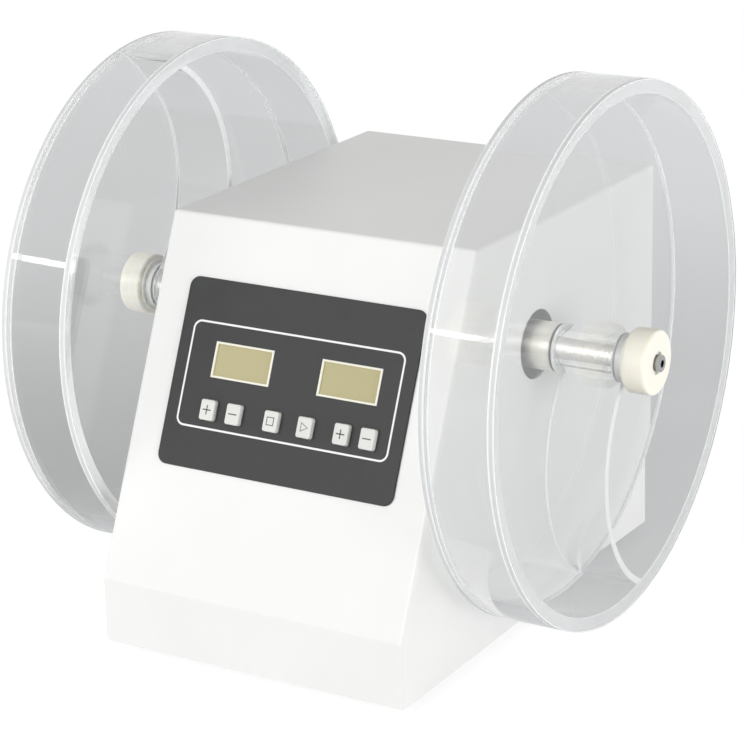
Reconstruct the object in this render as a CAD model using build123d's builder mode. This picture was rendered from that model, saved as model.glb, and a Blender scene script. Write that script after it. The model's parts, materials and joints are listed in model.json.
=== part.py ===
from build123d import *

import os
from math import acos, atan2, cos, degrees, hypot, pi, radians, sin, tan

# Tablet friability tester: a sheet metal housing with a slanted control front, one spindle
# through both sides, and a clear drum with a curved baffle on each end of the spindle.
# Millimetres. X runs along the spindle, Y to the back, Z up. The origin is on the floor
# plane of the feet, below the middle of the spindle.

# Housing
body_width = 192.0
body_front = 145.5
body_back = 147.0
head_room = 68.0
kick_height = 37.0
top_front = 61.5
sheet = 1.5
bend_radius = 2.5
lip_width = 12.0
lip_relief = 1.0
panel_gap = 0.3
panel_slack = 0.2
foot_height = 6.0
foot_radius = 11.0
foot_inset = 32.0
foot_stem_radius = 2.4
foot_stem_gap = 0.1
foot_stem_rise = 2.0
foot_edge = 1.5
base_thickness = 2.0
rear_thickness = 1.5
side_hole_margin = 6.0
cut = 1.0

# Spindle line
drum_floor_gap = 16.0
spindle_radius = 6.0
running_clearance = 0.04
fit_clearance = 0.02
thread_pitch = 1.75
thread_depth = 1.0
thread_length = 58.0
thread_end_inset = 1.0
nose_step = 1.25
nose_length = 2.5
socket_flats = 4.0
socket_depth = 3.0
collar_radius = 13.5
collar_inset = 12.0
collar_screw_inset = 4.0

# Drums
drum_side_gap = 13.5
disc_thickness = 3.0
drum_depth = 37.0
drum_radius = 150.0
ring_wall = 8.0
hub_radius = 13.5
hub_bore_slack = 0.4
hub_boss_length = 4.0
baffle_radius = 80.5
baffle_thickness = 4.0
baffle_centre_y = 64.5
baffle_centre_z = -67.5
cover_gap = 0.2
edge_break = 0.4
washer_radius = 15.5
washer_thickness = 1.5
nut_radius = 18.0
nut_length = 14.0
nut_edge = 2.0
nut_bore_clearance = 0.05

# Bearings and plates
plate_thickness = 3.0
plate_depth = 90.0
plate_rise = 26.0
plate_foot = 22.0
plate_corner = 8.0
plate_screw_shift = 1.0
bush_wall = 3.0
bush_length = 12.0
bush_flange_width = 3.0
bush_flange = 2.0
bush_gap = 0.5

# Drive
gear_module = 1.5
gear_teeth = 48
pinion_teeth = 24
pressure_angle = 20.0
flank_steps = 4
backlash = 0.3
gear_width = 10.0
gear_gap = 2.0
gear_hub_wall = 6.0
gear_hub_length = 4.5
gear_lightening_circle = 22.0
gear_lightening_radius = 6.0
motor_shaft_radius = 4.0
motor_shaft_hole = 7.0
motor_shaft_inside = 12.0
motor_shaft_end_gap = 1.0
motor_shaft_stub = 2.0
gearbox_radius = 25.0
gearbox_length = 28.0
motor_radius = 20.0
motor_length = 46.0
motor_edge = 3.0
motor_boss_radius = 8.0
motor_boss_length = 3.0
motor_screw_circle = 19.0

# Turn counter
index_radius = 26.0
index_thickness = 1.5
index_setback = 13.0
index_slot = 4.0
index_slot_depth = 8.0
index_hub_wall = 4.0
index_hub_length = 6.0
sensor_height = 14.0
sensor_depth = 20.0
sensor_arm = 5.0
sensor_gap = 1.5
set_screw_radius = 1.5
set_screw_sink = 0.6

# Slanted control front
label_top_gap = 34.7
label_width = 150.0
label_height = 105.0
label_corner = 6.0
label_thickness = 1.0
display_offsets = (-31.8, 36.2)
display_rise = 8.6
display_width = 37.5
display_height = 20.0
bezel_band = 1.2
bezel_proud = 0.4
bezel_edge = 0.3
glass_sink = 0.5
module_width = 41.0
module_height = 24.0
key_offsets = (-47.0, -30.3, -6.0, 15.3, 38.1, 54.3)
key_names = ("time_up", "time_down", "reset", "start", "count_up", "count_down")
key_drop = -19.4
key_width = 9.0
key_height = 11.5
key_corner = 1.4
key_proud = 3.0
key_gap = 0.3
key_flange = 1.3
key_flange_thickness = 1.2
key_stem_radius = 1.5
key_edge = 0.8
key_travel = 0.8
key_switch_gap = 0.2
board_depth = 9.5
board_thickness = 1.6
board_width = 144.0
board_height = 66.0
board_drop = -1.0
board_corner = 2.0
board_screw_inset = 5.0
control_parts = ((30, 8, 28, 28), (-29, 4, 12, 9), (-11, 4, 12, 9), (-29, 20, 12, 9), (-11, 20, 12, 9))
control_parts_height = 4.0
standoff_radius = 3.0
switch_size = 6.0
switch_corner = 0.6
switch_height = 3.5

# Fasteners
screw_radius = 1.5
screw_head_radius = 2.8
screw_head = 1.6
screw_head_edge = 0.8
screw_slot_length = 3.0
screw_slot_width = 0.6
screw_slot_depth = 1.0
screw_length = 6.0
screw_clearance = 0.1
rear_screw_inset = 22.0
base_screw_front_inset = 60.0
base_screw_back_inset = 42.0

# Back
inlet_side_gap = 41.0
inlet_rise = 30.0
inlet_body_width = 27.0
inlet_body_height = 20.0
inlet_body_depth = 22.0
inlet_flange_width = 31.0
inlet_flange_height = 25.0
inlet_flange = 2.2
inlet_corner = 2.5
socket_width = 24.0
socket_height = 16.4
socket_hollow = 16.0
socket_corner = 5.0
contact_width = 2.0
contact_height = 4.0
contact_length = 12.0
contact_spacing = 14.0
contact_offset = 2.0
switch_side_gap = 38.0
switch_rise = 30.0
switch_width = 21.0
switch_tall = 17.0
switch_bezel = 2.0
switch_bezel_corner = 1.5
switch_body_width = 18.6
switch_body_height = 14.8
switch_body_depth = 18.0
rocker_width = 15.0
rocker_tall = 10.0
rocker_rise = 4.5
rocker_tilt = 8.0
rocker_drop = 4.0
rocker_sink = 1.5
rocker_taper = 0.8
rocker_floor_gap = 0.5
rocker_side_gap = 0.2
rocker_end_gap = 1.3
rocker_pin_radius = 1.2
rocker_pin_length = 0.9
rocker_pin_gap = 0.1
vent_count = 7
vent_pitch = 9.0
vent_width = 3.2
vent_length = 46.0
vent_gap = 12.0
vent_drop = 62.0

# Supply
supply_width = 72.0
supply_depth = 54.0
supply_thickness = 1.6
supply_side_gap = 22.0
supply_plate_gap = 3.0
supply_rise = 8.0
capacitor_radius = 8.0
capacitor_place = (-24.0, 11.0)
supply_tall_block = (2.0, 6.0, 20.0, 16.0)
supply_tall = 20.0
supply_low_blocks = ((28.0, 0.0, 8.0, 36.0), (2.0, -16.0, 24.0, 10.0))
supply_low = 10.0
transformer_side_gap = 17.0
transformer_back_gap = 61.0
core_width = 48.0
core_depth = 20.0
core_height = 45.0
coil_width = 34.0
coil_depth = 38.0
coil_corner = 4.0
coil_height = 30.0

# Values that follow from the sizes above
half_width = body_width / 2
body_floor = foot_height
shaft_z = drum_radius + drum_floor_gap
kick_top = body_floor + kick_height
roof = shaft_z + head_room
slant = atan2(body_front - top_front, roof - kick_top)
slope_length = hypot(body_front - top_front, roof - kick_top)
panel_centre = slope_length - label_top_gap - label_height / 2
base_top = body_floor + base_thickness
side_hole_radius = collar_radius + side_hole_margin
hub_bore_radius = spindle_radius + hub_bore_slack
nose_radius = spindle_radius - nose_step
bush_radius = spindle_radius + bush_wall
bush_flange_radius = bush_radius + bush_flange_width
gear_hub_radius = spindle_radius + gear_hub_wall
index_hub_radius = spindle_radius + index_hub_wall
collar_inner_x = half_width - collar_inset
gear_outer_x = collar_inner_x - gear_gap
gear_inner_x = gear_outer_x - gear_width - gear_hub_length
plate_x = gear_inner_x - bush_gap - bush_flange - plate_thickness
index_x = plate_x - index_setback
drum_inner_x = half_width + drum_side_gap
ring_inner = drum_radius - ring_wall
ring_start = drum_inner_x + disc_thickness
ring_end = ring_start + drum_depth
cover_face = ring_end + disc_thickness
boss_face = cover_face + hub_boss_length
nut_start = boss_face + washer_thickness
nut_face = nut_start + nut_length
nose_face = nut_face + nose_length
thread_end = nut_face - thread_end_inset
gear_pitch_radius = gear_module * gear_teeth / 2
pinion_pitch_radius = gear_module * pinion_teeth / 2
pinion_z = shaft_z - gear_pitch_radius - pinion_pitch_radius
inlet_x = half_width - inlet_side_gap
inlet_z = base_top + inlet_rise
switch_x = -half_width + switch_side_gap
switch_z = base_top + switch_rise
vent_centre_z = roof - vent_drop
supply_x = half_width - supply_side_gap - supply_width / 2
supply_y = plate_depth / 2 + supply_plate_gap + supply_depth / 2
transformer_x = -half_width + transformer_side_gap + core_width / 2
transformer_y = body_back - transformer_back_gap
sides = (("left", -1), ("right", 1))

os.makedirs("parts", exist_ok=True)


def save(piece, name):
    """Label a finished sub-part and write its file."""
    piece.part.label = name
    export_step(piece.part, f"parts/{name}.step")


def casing_outline(inset, low, far):
    """Side profile of the housing, moved inwards by inset, from height low to depth far."""
    front = -body_front + inset
    top = roof - inset
    kick = kick_top - inset * tan(slant / 2)
    run = (top - kick) * tan(slant)
    return [(front, low), (far, low), (far, top), (front + run, top), (front, kick)]


def across(side, x):
    """Plane square to the spindle at distance x from the middle, on the given side."""
    return Plane.YZ.offset(side * x)


# The control front's own plane: u to the right, v up the slope, w out of the face
front_plane = Plane(
    origin=(0, -body_front + panel_centre * sin(slant), kick_top + panel_centre * cos(slant)),
    x_dir=(1, 0, 0),
    z_dir=(0, -cos(slant), sin(slant)),
)
front_axis = Axis(front_plane.origin, front_plane.z_dir)


def on_front(w):
    """Plane parallel to the slanted front at height w above its outer face."""
    return front_plane.offset(w)


display_places = [(u, display_rise) for u in display_offsets]
key_places = [(u, key_drop) for u in key_offsets]
board_corners = [
    (
        i * (board_width / 2 - board_screw_inset),
        board_drop + j * (board_height / 2 - board_screw_inset),
    )
    for i in (-1, 1)
    for j in (-1, 1)
]

# Places of the screws in the back and in the floor of the housing
rear_inner = body_back - rear_thickness
lip_middle = half_width - sheet - lip_width / 2
rear_screw_places = [
    (i * lip_middle, z)
    for i in (-1, 1)
    for z in (base_top + rear_screw_inset, (base_top + roof) / 2, roof - rear_screw_inset)
]
rear_screw_places += [(0, roof - sheet - lip_width / 2)]
base_screw_places = [
    (i * lip_middle, y)
    for i in (-1, 1)
    for y in (-body_front + base_screw_front_inset, 0, body_back - base_screw_back_inset)
]
base_screw_places += [(0, -body_front + sheet + lip_width / 2)]
foot_places = [
    (i * (half_width - foot_inset), y)
    for y in (-body_front + foot_inset, body_back - foot_inset)
    for i in (-1, 1)
]
bracket_screw_places = [
    (i * (plate_x - plate_foot / 2 - plate_screw_shift), y)
    for i in (-1, 1)
    for y in (-plate_depth / 3, plate_depth / 3)
]
supply_corners = [
    (
        supply_x + i * (supply_width / 2 - board_screw_inset),
        supply_y + j * (supply_depth / 2 - board_screw_inset),
    )
    for i in (-1, 1)
    for j in (-1, 1)
]

# Housing shell: one folded sheet for front, top and sides, open below and behind,
# with inward lips that take the base and rear panels
with BuildPart() as housing_shell:
    with BuildSketch(Plane.YZ.offset(-half_width)):
        with BuildLine():
            Polyline(*casing_outline(0, body_floor, body_back), close=True)
        make_face()
    extrude(amount=body_width)
    folds = housing_shell.edges().filter_by(
        lambda edge: edge.center().Z > body_floor + cut and edge.center().Y < body_back - cut
    )
    fillet(folds, bend_radius)
    with BuildSketch(Plane.YZ.offset(-half_width + sheet)):
        with BuildLine():
            Polyline(*casing_outline(sheet, body_floor - cut, body_back + cut), close=True)
        make_face()
    extrude(amount=body_width - 2 * sheet, mode=Mode.SUBTRACT)
    # rear lip, three sides
    with BuildSketch(Plane.XZ.offset(-rear_inner)):
        with Locations((0, (base_top + roof - sheet / 2) / 2)):
            Rectangle(body_width - sheet, roof - sheet / 2 - base_top)
        with Locations((0, (base_top + roof) / 2 - sheet - lip_width)):
            Rectangle(body_width - 2 * sheet - 2 * lip_width, roof - base_top, mode=Mode.SUBTRACT)
        with Locations(*rear_screw_places):
            Circle(screw_radius + screw_clearance, mode=Mode.SUBTRACT)
    extrude(amount=sheet)
    # floor lip, three sides
    with BuildSketch(Plane.XY.offset(base_top)):
        lip_near = -body_front + sheet / 2
        lip_far = rear_inner - sheet - lip_relief
        with Locations((0, (lip_near + lip_far) / 2)):
            Rectangle(body_width - sheet, lip_far - lip_near)
        with Locations((0, (lip_near + lip_far) / 2 + sheet / 2 + lip_width)):
            Rectangle(body_width - 2 * sheet - 2 * lip_width, lip_far - lip_near, mode=Mode.SUBTRACT)
        with Locations(*base_screw_places):
            Circle(screw_radius + screw_clearance, mode=Mode.SUBTRACT)
    extrude(amount=sheet)
    # round openings for the spindle collars
    with BuildSketch(Plane.YZ.offset(-half_width - cut)):
        with Locations((0, shaft_z)):
            Circle(side_hole_radius)
    extrude(amount=body_width + 2 * cut, mode=Mode.SUBTRACT)
    # openings behind the control label
    with BuildSketch(on_front(cut)):
        with Locations(*display_places):
            Rectangle(display_width + 2 * fit_clearance, display_height + 2 * fit_clearance)
        with Locations(*key_places):
            RectangleRounded(key_width + 2 * key_gap, key_height + 2 * key_gap, key_corner)
    extrude(amount=-sheet - 2 * cut, mode=Mode.SUBTRACT)
save(housing_shell, "housing_shell")

# Base plate with holes for its screws, the feet and the bearing plates
with BuildPart() as base_plate:
    with BuildSketch(Plane.XY.offset(body_floor)):
        base_far = rear_inner - panel_gap
        base_near = -body_front + sheet + panel_gap
        with Locations((0, (base_far + base_near) / 2)):
            Rectangle(body_width - 2 * sheet - 2 * panel_gap, base_far - base_near)
        with Locations(*base_screw_places):
            Circle(screw_radius + screw_clearance, mode=Mode.SUBTRACT)
        with Locations(*foot_places):
            Circle(foot_stem_radius, mode=Mode.SUBTRACT)
        with Locations(*bracket_screw_places):
            Circle(screw_radius + screw_clearance, mode=Mode.SUBTRACT)
        with Locations(*supply_corners):
            Circle(screw_radius + screw_clearance, mode=Mode.SUBTRACT)
    extrude(amount=base_thickness)
save(base_plate, "base_plate")

# Rear panel with vents and the openings for the inlet and the switch
with BuildPart() as rear_panel:
    with BuildSketch(Plane.XZ.offset(-rear_inner)):
        panel_low = body_floor + panel_gap
        panel_high = roof - sheet - panel_gap
        with Locations((0, (panel_low + panel_high) / 2)):
            Rectangle(body_width - 2 * sheet - 2 * panel_gap, panel_high - panel_low)
        with Locations(*rear_screw_places):
            Circle(screw_radius + screw_clearance, mode=Mode.SUBTRACT)
        with Locations((inlet_x, inlet_z)):
            Rectangle(
                inlet_body_width + 2 * panel_slack,
                inlet_body_height + 2 * panel_slack,
                mode=Mode.SUBTRACT,
            )
        with Locations((switch_x, switch_z)):
            Rectangle(
                switch_body_width + 2 * panel_slack,
                switch_body_height + 2 * panel_slack,
                mode=Mode.SUBTRACT,
            )
        with Locations((0, vent_centre_z)):
            with GridLocations(vent_length + vent_gap, vent_pitch, 2, vent_count):
                SlotOverall(vent_length, vent_width, mode=Mode.SUBTRACT)
    extrude(amount=-rear_thickness)
save(rear_panel, "rear_panel")


def pan_screw(length):
    """A screw along -Z with its head's underside on the origin."""
    with BuildPart(mode=Mode.PRIVATE) as screw:
        with BuildSketch(Plane.XY):
            Circle(screw_radius)
        extrude(amount=-length)
        with BuildSketch(Plane.XY):
            Circle(screw_head_radius)
        extrude(amount=screw_head)
        fillet(screw.edges().group_by(Axis.Z)[-1], screw_head_edge)
        with BuildSketch(Plane.XY.offset(screw_head)):
            Rectangle(screw_slot_length, screw_slot_width)
            Rectangle(screw_slot_width, screw_slot_length)
        extrude(amount=-screw_slot_depth, mode=Mode.SUBTRACT)
    return screw.part


machine_screw = pan_screw(screw_length)

# Screws of the rear panel, heads outside
with BuildPart() as rear_panel_screws:
    with Locations(*[Plane((x, body_back, z), z_dir=(0, 1, 0)) for x, z in rear_screw_places]):
        add(machine_screw)
save(rear_panel_screws, "rear_panel_screws")

# Screws up through the base plate into the lip, the bearing plates and the standoffs
under_places = base_screw_places + bracket_screw_places + supply_corners
with BuildPart() as base_screws:
    with Locations(*[Plane((x, y, body_floor), z_dir=(0, 0, -1)) for x, y in under_places]):
        add(machine_screw)
save(base_screws, "base_screws")

# Rubber feet with a stem that snaps through the base plate
foot_names = ("front_left", "front_right", "rear_left", "rear_right")
for foot_name, (foot_x, foot_y) in zip(foot_names, foot_places):
    with BuildPart() as rubber_foot:
        with BuildSketch(Plane.XY):
            with Locations((foot_x, foot_y)):
                Circle(foot_radius)
        extrude(amount=foot_height)
        fillet(rubber_foot.edges().group_by(Axis.Z)[0], foot_edge)
        with BuildSketch(Plane.XY.offset(foot_height)):
            with Locations((foot_x, foot_y)):
                Circle(foot_stem_radius - foot_stem_gap)
        extrude(amount=base_thickness + foot_stem_rise)
    save(rubber_foot, f"foot_{foot_name}")

# Control label: a plate on the slanted front, cut out for the displays and keys
with BuildPart() as control_label:
    with BuildSketch(on_front(0)):
        RectangleRounded(label_width, label_height, label_corner)
        with Locations(*display_places):
            Rectangle(
                display_width + 2 * fit_clearance, display_height + 2 * fit_clearance, mode=Mode.SUBTRACT
            )
        with Locations(*key_places):
            RectangleRounded(
                key_width + 2 * key_gap, key_height + 2 * key_gap, key_corner, mode=Mode.SUBTRACT
            )
    extrude(amount=label_thickness)
    label_face = control_label.faces().sort_by(front_axis)[-1]
    chamfer(label_face.outer_wire().edges(), edge_break)
save(control_label, "control_label")

for name, place in zip(("left", "right"), display_places):
    # Thin frame that lines the display's opening
    with BuildPart() as display_bezel:
        with BuildSketch(on_front(-sheet)):
            with Locations(place):
                Rectangle(display_width, display_height)
                Rectangle(
                    display_width - 2 * bezel_band, display_height - 2 * bezel_band, mode=Mode.SUBTRACT
                )
        extrude(amount=sheet + label_thickness + bezel_proud)
        bezel_face = display_bezel.faces().sort_by(front_axis)[-1]
        fillet(bezel_face.edges(), bezel_edge)
    save(display_bezel, f"{name}_display_bezel")

    # Display module: a wide body on the board and a window block inside the frame
    with BuildPart() as display:
        with BuildSketch(on_front(-board_depth)):
            with Locations(place):
                Rectangle(module_width, module_height)
        extrude(amount=board_depth - sheet - fit_clearance)
        with BuildSketch(on_front(-board_depth)):
            with Locations(place):
                Rectangle(
                    display_width - 2 * bezel_band - 2 * fit_clearance,
                    display_height - 2 * bezel_band - 2 * fit_clearance,
                )
        extrude(amount=board_depth + label_thickness - glass_sink)
    save(display, f"{name}_display")

# Keys: a cap through the front, a flange that keeps it in, a stem down to its switch
switch_top = -board_depth + switch_height
for name, place in zip(key_names, key_places):
    with BuildPart() as key:
        with BuildSketch(on_front(-sheet - key_gap - key_flange_thickness)):
            with Locations(place):
                RectangleRounded(key_width, key_height, key_corner)
        extrude(amount=sheet + key_gap + key_flange_thickness + label_thickness + key_proud)
        fillet(key.faces().sort_by(front_axis)[-1].edges(), key_edge)
        with BuildSketch(on_front(-sheet - key_gap - key_flange_thickness)):
            with Locations(place):
                RectangleRounded(key_width + 2 * key_flange, key_height + 2 * key_flange, key_corner)
        extrude(amount=key_flange_thickness)
        with BuildSketch(on_front(switch_top + key_travel + key_switch_gap)):
            with Locations(place):
                Circle(key_stem_radius)
        extrude(amount=-switch_top - key_travel - key_switch_gap - sheet)
    save(key, f"key_{name}")

# Small push switches under the keys
with BuildPart() as key_switches:
    with BuildSketch(on_front(-board_depth)):
        with Locations(*key_places):
            RectangleRounded(switch_size, switch_size, switch_corner)
    extrude(amount=switch_height)
save(key_switches, "key_switches")

# Control board behind the slanted front, and its four standoffs
with BuildPart() as control_board:
    with BuildSketch(on_front(-board_depth)):
        with Locations((0, board_drop)):
            RectangleRounded(board_width, board_height, board_corner)
    extrude(amount=-board_thickness)
    with BuildSketch(on_front(-board_depth - board_thickness)):
        for u, v, part_width, part_height in control_parts:
            with Locations((u, v)):
                Rectangle(part_width, part_height)
    extrude(amount=-control_parts_height)
save(control_board, "control_board")

with BuildPart() as board_standoffs:
    with BuildSketch(on_front(-board_depth)):
        with Locations(*board_corners):
            Circle(standoff_radius)
    extrude(amount=board_depth - sheet)
save(board_standoffs, "board_standoffs")

# Bearing plates: folded angles that carry the spindle, the left one also the motor
motor_screw_places = [
    (motor_screw_circle * cos(radians(a)), pinion_z + motor_screw_circle * sin(radians(a)))
    for a in (45, 135, 225, 315)
]
for name, side in sides:
    with BuildPart() as bearing_plate:
        with BuildSketch(across(side, plate_x)):
            plate_top = shaft_z + plate_rise
            with Locations((0, (base_top + plate_top) / 2)):
                Rectangle(plate_depth, plate_top - base_top)
            with Locations((0, shaft_z)):
                Circle(bush_radius + fit_clearance, mode=Mode.SUBTRACT)
            if side < 0:
                with Locations((0, pinion_z)):
                    Circle(motor_shaft_hole, mode=Mode.SUBTRACT)
                with Locations(*motor_screw_places):
                    Circle(screw_radius + screw_clearance, mode=Mode.SUBTRACT)
        extrude(amount=side * plate_thickness)
        with BuildSketch(Plane.XY.offset(base_top)):
            with Locations((side * (plate_x - plate_foot / 2 + plate_thickness / 2), 0)):
                Rectangle(plate_foot + plate_thickness, plate_depth)
            with Locations(*[(x, y) for x, y in bracket_screw_places if x * side > 0]):
                Circle(screw_radius + screw_clearance, mode=Mode.SUBTRACT)
        extrude(amount=plate_thickness)
        corners = bearing_plate.edges().filter_by(Axis.X).group_by(Axis.Z)[-1]
        fillet(corners, plate_corner)
    save(bearing_plate, f"{name}_bearing_plate")

    # Flanged bronze bush, flange outboard
    with BuildPart() as bearing_bush:
        with BuildSketch(across(side, plate_x + plate_thickness)):
            with Locations((0, shaft_z)):
                Circle(bush_flange_radius)
                Circle(spindle_radius + running_clearance, mode=Mode.SUBTRACT)
        extrude(amount=side * bush_flange)
        with BuildSketch(across(side, plate_x + plate_thickness)):
            with Locations((0, shaft_z)):
                Circle(bush_radius)
                Circle(spindle_radius + running_clearance, mode=Mode.SUBTRACT)
        extrude(amount=-side * bush_length)
    save(bearing_bush, f"{name}_bearing_bush")

# Spindle: one steel bar, threaded towards both ends, with a turned nose and a hex socket
crest = thread_pitch / 8
flank = thread_pitch * 3 / 8
thread_start = thread_end - thread_length
half_outline = []
for turn in range(int(thread_length / thread_pitch)):
    x = thread_start + turn * thread_pitch
    half_outline += [
        (x, spindle_radius),
        (x + crest, spindle_radius),
        (x + crest + flank, spindle_radius - thread_depth),
        (x + 2 * crest + flank, spindle_radius - thread_depth),
    ]
half_outline += [
    (thread_end - crest, spindle_radius),
    (thread_end, nose_radius),
    (nose_face - edge_break, nose_radius),
    (nose_face, nose_radius - edge_break),
]
spindle_outline = [(x, shaft_z + r) for x, r in half_outline] + [(nose_face, shaft_z)]
spindle_outline = [(-x, z) for x, z in reversed(spindle_outline)] + spindle_outline
with BuildPart() as spindle:
    with BuildSketch(Plane.XZ):
        with BuildLine():
            Polyline(*spindle_outline, close=True)
        make_face()
    revolve(axis=Axis((0, 0, shaft_z), (1, 0, 0)))
    for name, side in sides:
        with BuildSketch(across(side, nose_face)):
            with Locations((0, shaft_z)):
                RegularPolygon(socket_flats / 2, 6, major_radius=False)
        extrude(amount=-side * socket_depth, mode=Mode.SUBTRACT)
save(spindle, "spindle")


def gear_outline(teeth, pitch_radius, y, z, first_angle):
    """Points round a spur gear in the YZ plane, with a tooth centred on first_angle in degrees."""
    base_radius = pitch_radius * cos(radians(pressure_angle))
    root = pitch_radius - 1.25 * gear_module
    tip = pitch_radius + gear_module
    half_thick = (pi * gear_module / 2 - backlash / 2) / (2 * pitch_radius)

    def involute(radius):
        """Angle turned by the flank at this radius."""
        pressure = acos(min(1, base_radius / radius))
        return tan(pressure) - pressure

    radii = [root + (tip - root) * step / flank_steps for step in range(flank_steps + 1)]
    widths = [half_thick + involute(pitch_radius) - involute(max(r, base_radius)) for r in radii]
    points = []
    for tooth in range(teeth):
        middle = radians(first_angle) + 2 * pi * tooth / teeth
        flanks = [(r, middle - w) for r, w in zip(radii, widths)]
        flanks += [(r, middle + w) for r, w in reversed(list(zip(radii, widths)))]
        points += [(y + r * cos(a), z + r * sin(a)) for r, a in flanks]
    return points


# Spur gear on the spindle, with a hub towards the bearing
with BuildPart() as drum_gear:
    with BuildSketch(across(-1, gear_outer_x)):
        with BuildLine():
            Polyline(*gear_outline(gear_teeth, gear_pitch_radius, 0, shaft_z, -90), close=True)
        make_face()
        with Locations((0, shaft_z)):
            Circle(spindle_radius + fit_clearance, mode=Mode.SUBTRACT)
            with PolarLocations(gear_lightening_circle, 6):
                Circle(gear_lightening_radius, mode=Mode.SUBTRACT)
    extrude(amount=gear_width)
    with BuildSketch(across(-1, gear_outer_x - gear_width)):
        with Locations((0, shaft_z)):
            Circle(gear_hub_radius)
            Circle(spindle_radius + fit_clearance, mode=Mode.SUBTRACT)
    extrude(amount=gear_hub_length)
    with BuildSketch(Plane.XY.offset(shaft_z)):
        with Locations((-gear_outer_x + gear_width + gear_hub_length / 2, 0)):
            Circle(set_screw_radius + fit_clearance)
    extrude(amount=gear_hub_radius + cut, mode=Mode.SUBTRACT)
save(drum_gear, "drum_gear")

# Motor pinion below the spindle gear, and the motor's output shaft
with BuildPart() as motor_pinion:
    with BuildSketch(across(-1, gear_outer_x)):
        with BuildLine():
            pinion_phase = 90 + 180 / pinion_teeth
            Polyline(
                *gear_outline(pinion_teeth, pinion_pitch_radius, 0, pinion_z, pinion_phase), close=True
            )
        make_face()
        with Locations((0, pinion_z)):
            Circle(motor_shaft_radius + fit_clearance, mode=Mode.SUBTRACT)
    extrude(amount=gear_width)
save(motor_pinion, "motor_pinion")

motor_face = plate_x
with BuildPart() as motor_shaft:
    with BuildSketch(across(-1, gear_outer_x + motor_shaft_stub)):
        with Locations((0, pinion_z)):
            Circle(motor_shaft_radius)
    shaft_reach = motor_shaft_inside - motor_shaft_end_gap
    extrude(amount=gear_outer_x + motor_shaft_stub - motor_face + shaft_reach)
    chamfer(motor_shaft.edges().group_by(Axis.X)[0], edge_break)
save(motor_shaft, "motor_shaft")

# Gear motor on the left bearing plate
with BuildPart() as motor_gearbox:
    with BuildSketch(across(-1, motor_face)):
        with Locations((0, pinion_z)):
            Circle(gearbox_radius)
    extrude(amount=gearbox_length)
    with BuildSketch(across(-1, motor_face)):
        with Locations((0, pinion_z)):
            Circle(motor_shaft_radius + running_clearance)
        with Locations(*motor_screw_places):
            Circle(screw_radius + screw_clearance)
    extrude(amount=motor_shaft_inside, mode=Mode.SUBTRACT)
save(motor_gearbox, "motor_gearbox")

with BuildPart() as motor_can:
    with BuildSketch(across(-1, motor_face - gearbox_length)):
        with Locations((0, pinion_z)):
            Circle(motor_radius)
    extrude(amount=motor_length)
    fillet(motor_can.edges().group_by(Axis.X)[-1], motor_edge)
    with BuildSketch(across(-1, motor_face - gearbox_length - motor_length)):
        with Locations((0, pinion_z)):
            Circle(motor_boss_radius)
    extrude(amount=motor_boss_length)
save(motor_can, "motor_can")

with BuildPart() as motor_screws:
    motor_screw_planes = [
        Plane((-plate_x - plate_thickness, y, z), z_dir=(-1, 0, 0)) for y, z in motor_screw_places
    ]
    with Locations(*motor_screw_planes):
        add(machine_screw)
save(motor_screws, "motor_screws")

# Slotted disc on the spindle and the light gate that counts its turns
with BuildPart() as index_disc:
    with BuildSketch(Plane.YZ.offset(index_x)):
        with Locations((0, shaft_z)):
            Circle(index_radius)
            Circle(spindle_radius + fit_clearance, mode=Mode.SUBTRACT)
        with Locations((index_radius, shaft_z)):
            Rectangle(2 * index_slot_depth, index_slot, mode=Mode.SUBTRACT)
    extrude(amount=index_thickness)
    with BuildSketch(Plane.YZ.offset(index_x)):
        with Locations((0, shaft_z)):
            Circle(index_hub_radius)
            Circle(spindle_radius + fit_clearance, mode=Mode.SUBTRACT)
    extrude(amount=-index_hub_length)
    with BuildSketch(Plane.XY.offset(shaft_z)):
        with Locations((index_x - index_hub_length / 2, 0)):
            Circle(set_screw_radius + fit_clearance)
    extrude(amount=index_hub_radius + cut, mode=Mode.SUBTRACT)
save(index_disc, "index_disc")

with BuildPart() as turn_sensor:
    with BuildSketch(Plane.XY.offset(shaft_z - sensor_height / 2)):
        with Locations(((index_x - sensor_arm + plate_x) / 2, index_radius)):
            Rectangle(plate_x - index_x + sensor_arm, sensor_depth)
        with Locations((index_x + index_thickness / 2, index_radius - sensor_depth / 4)):
            Rectangle(index_thickness + 2 * sensor_gap, sensor_depth / 2, mode=Mode.SUBTRACT)
    extrude(amount=sensor_height)
save(turn_sensor, "turn_sensor")

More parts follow.
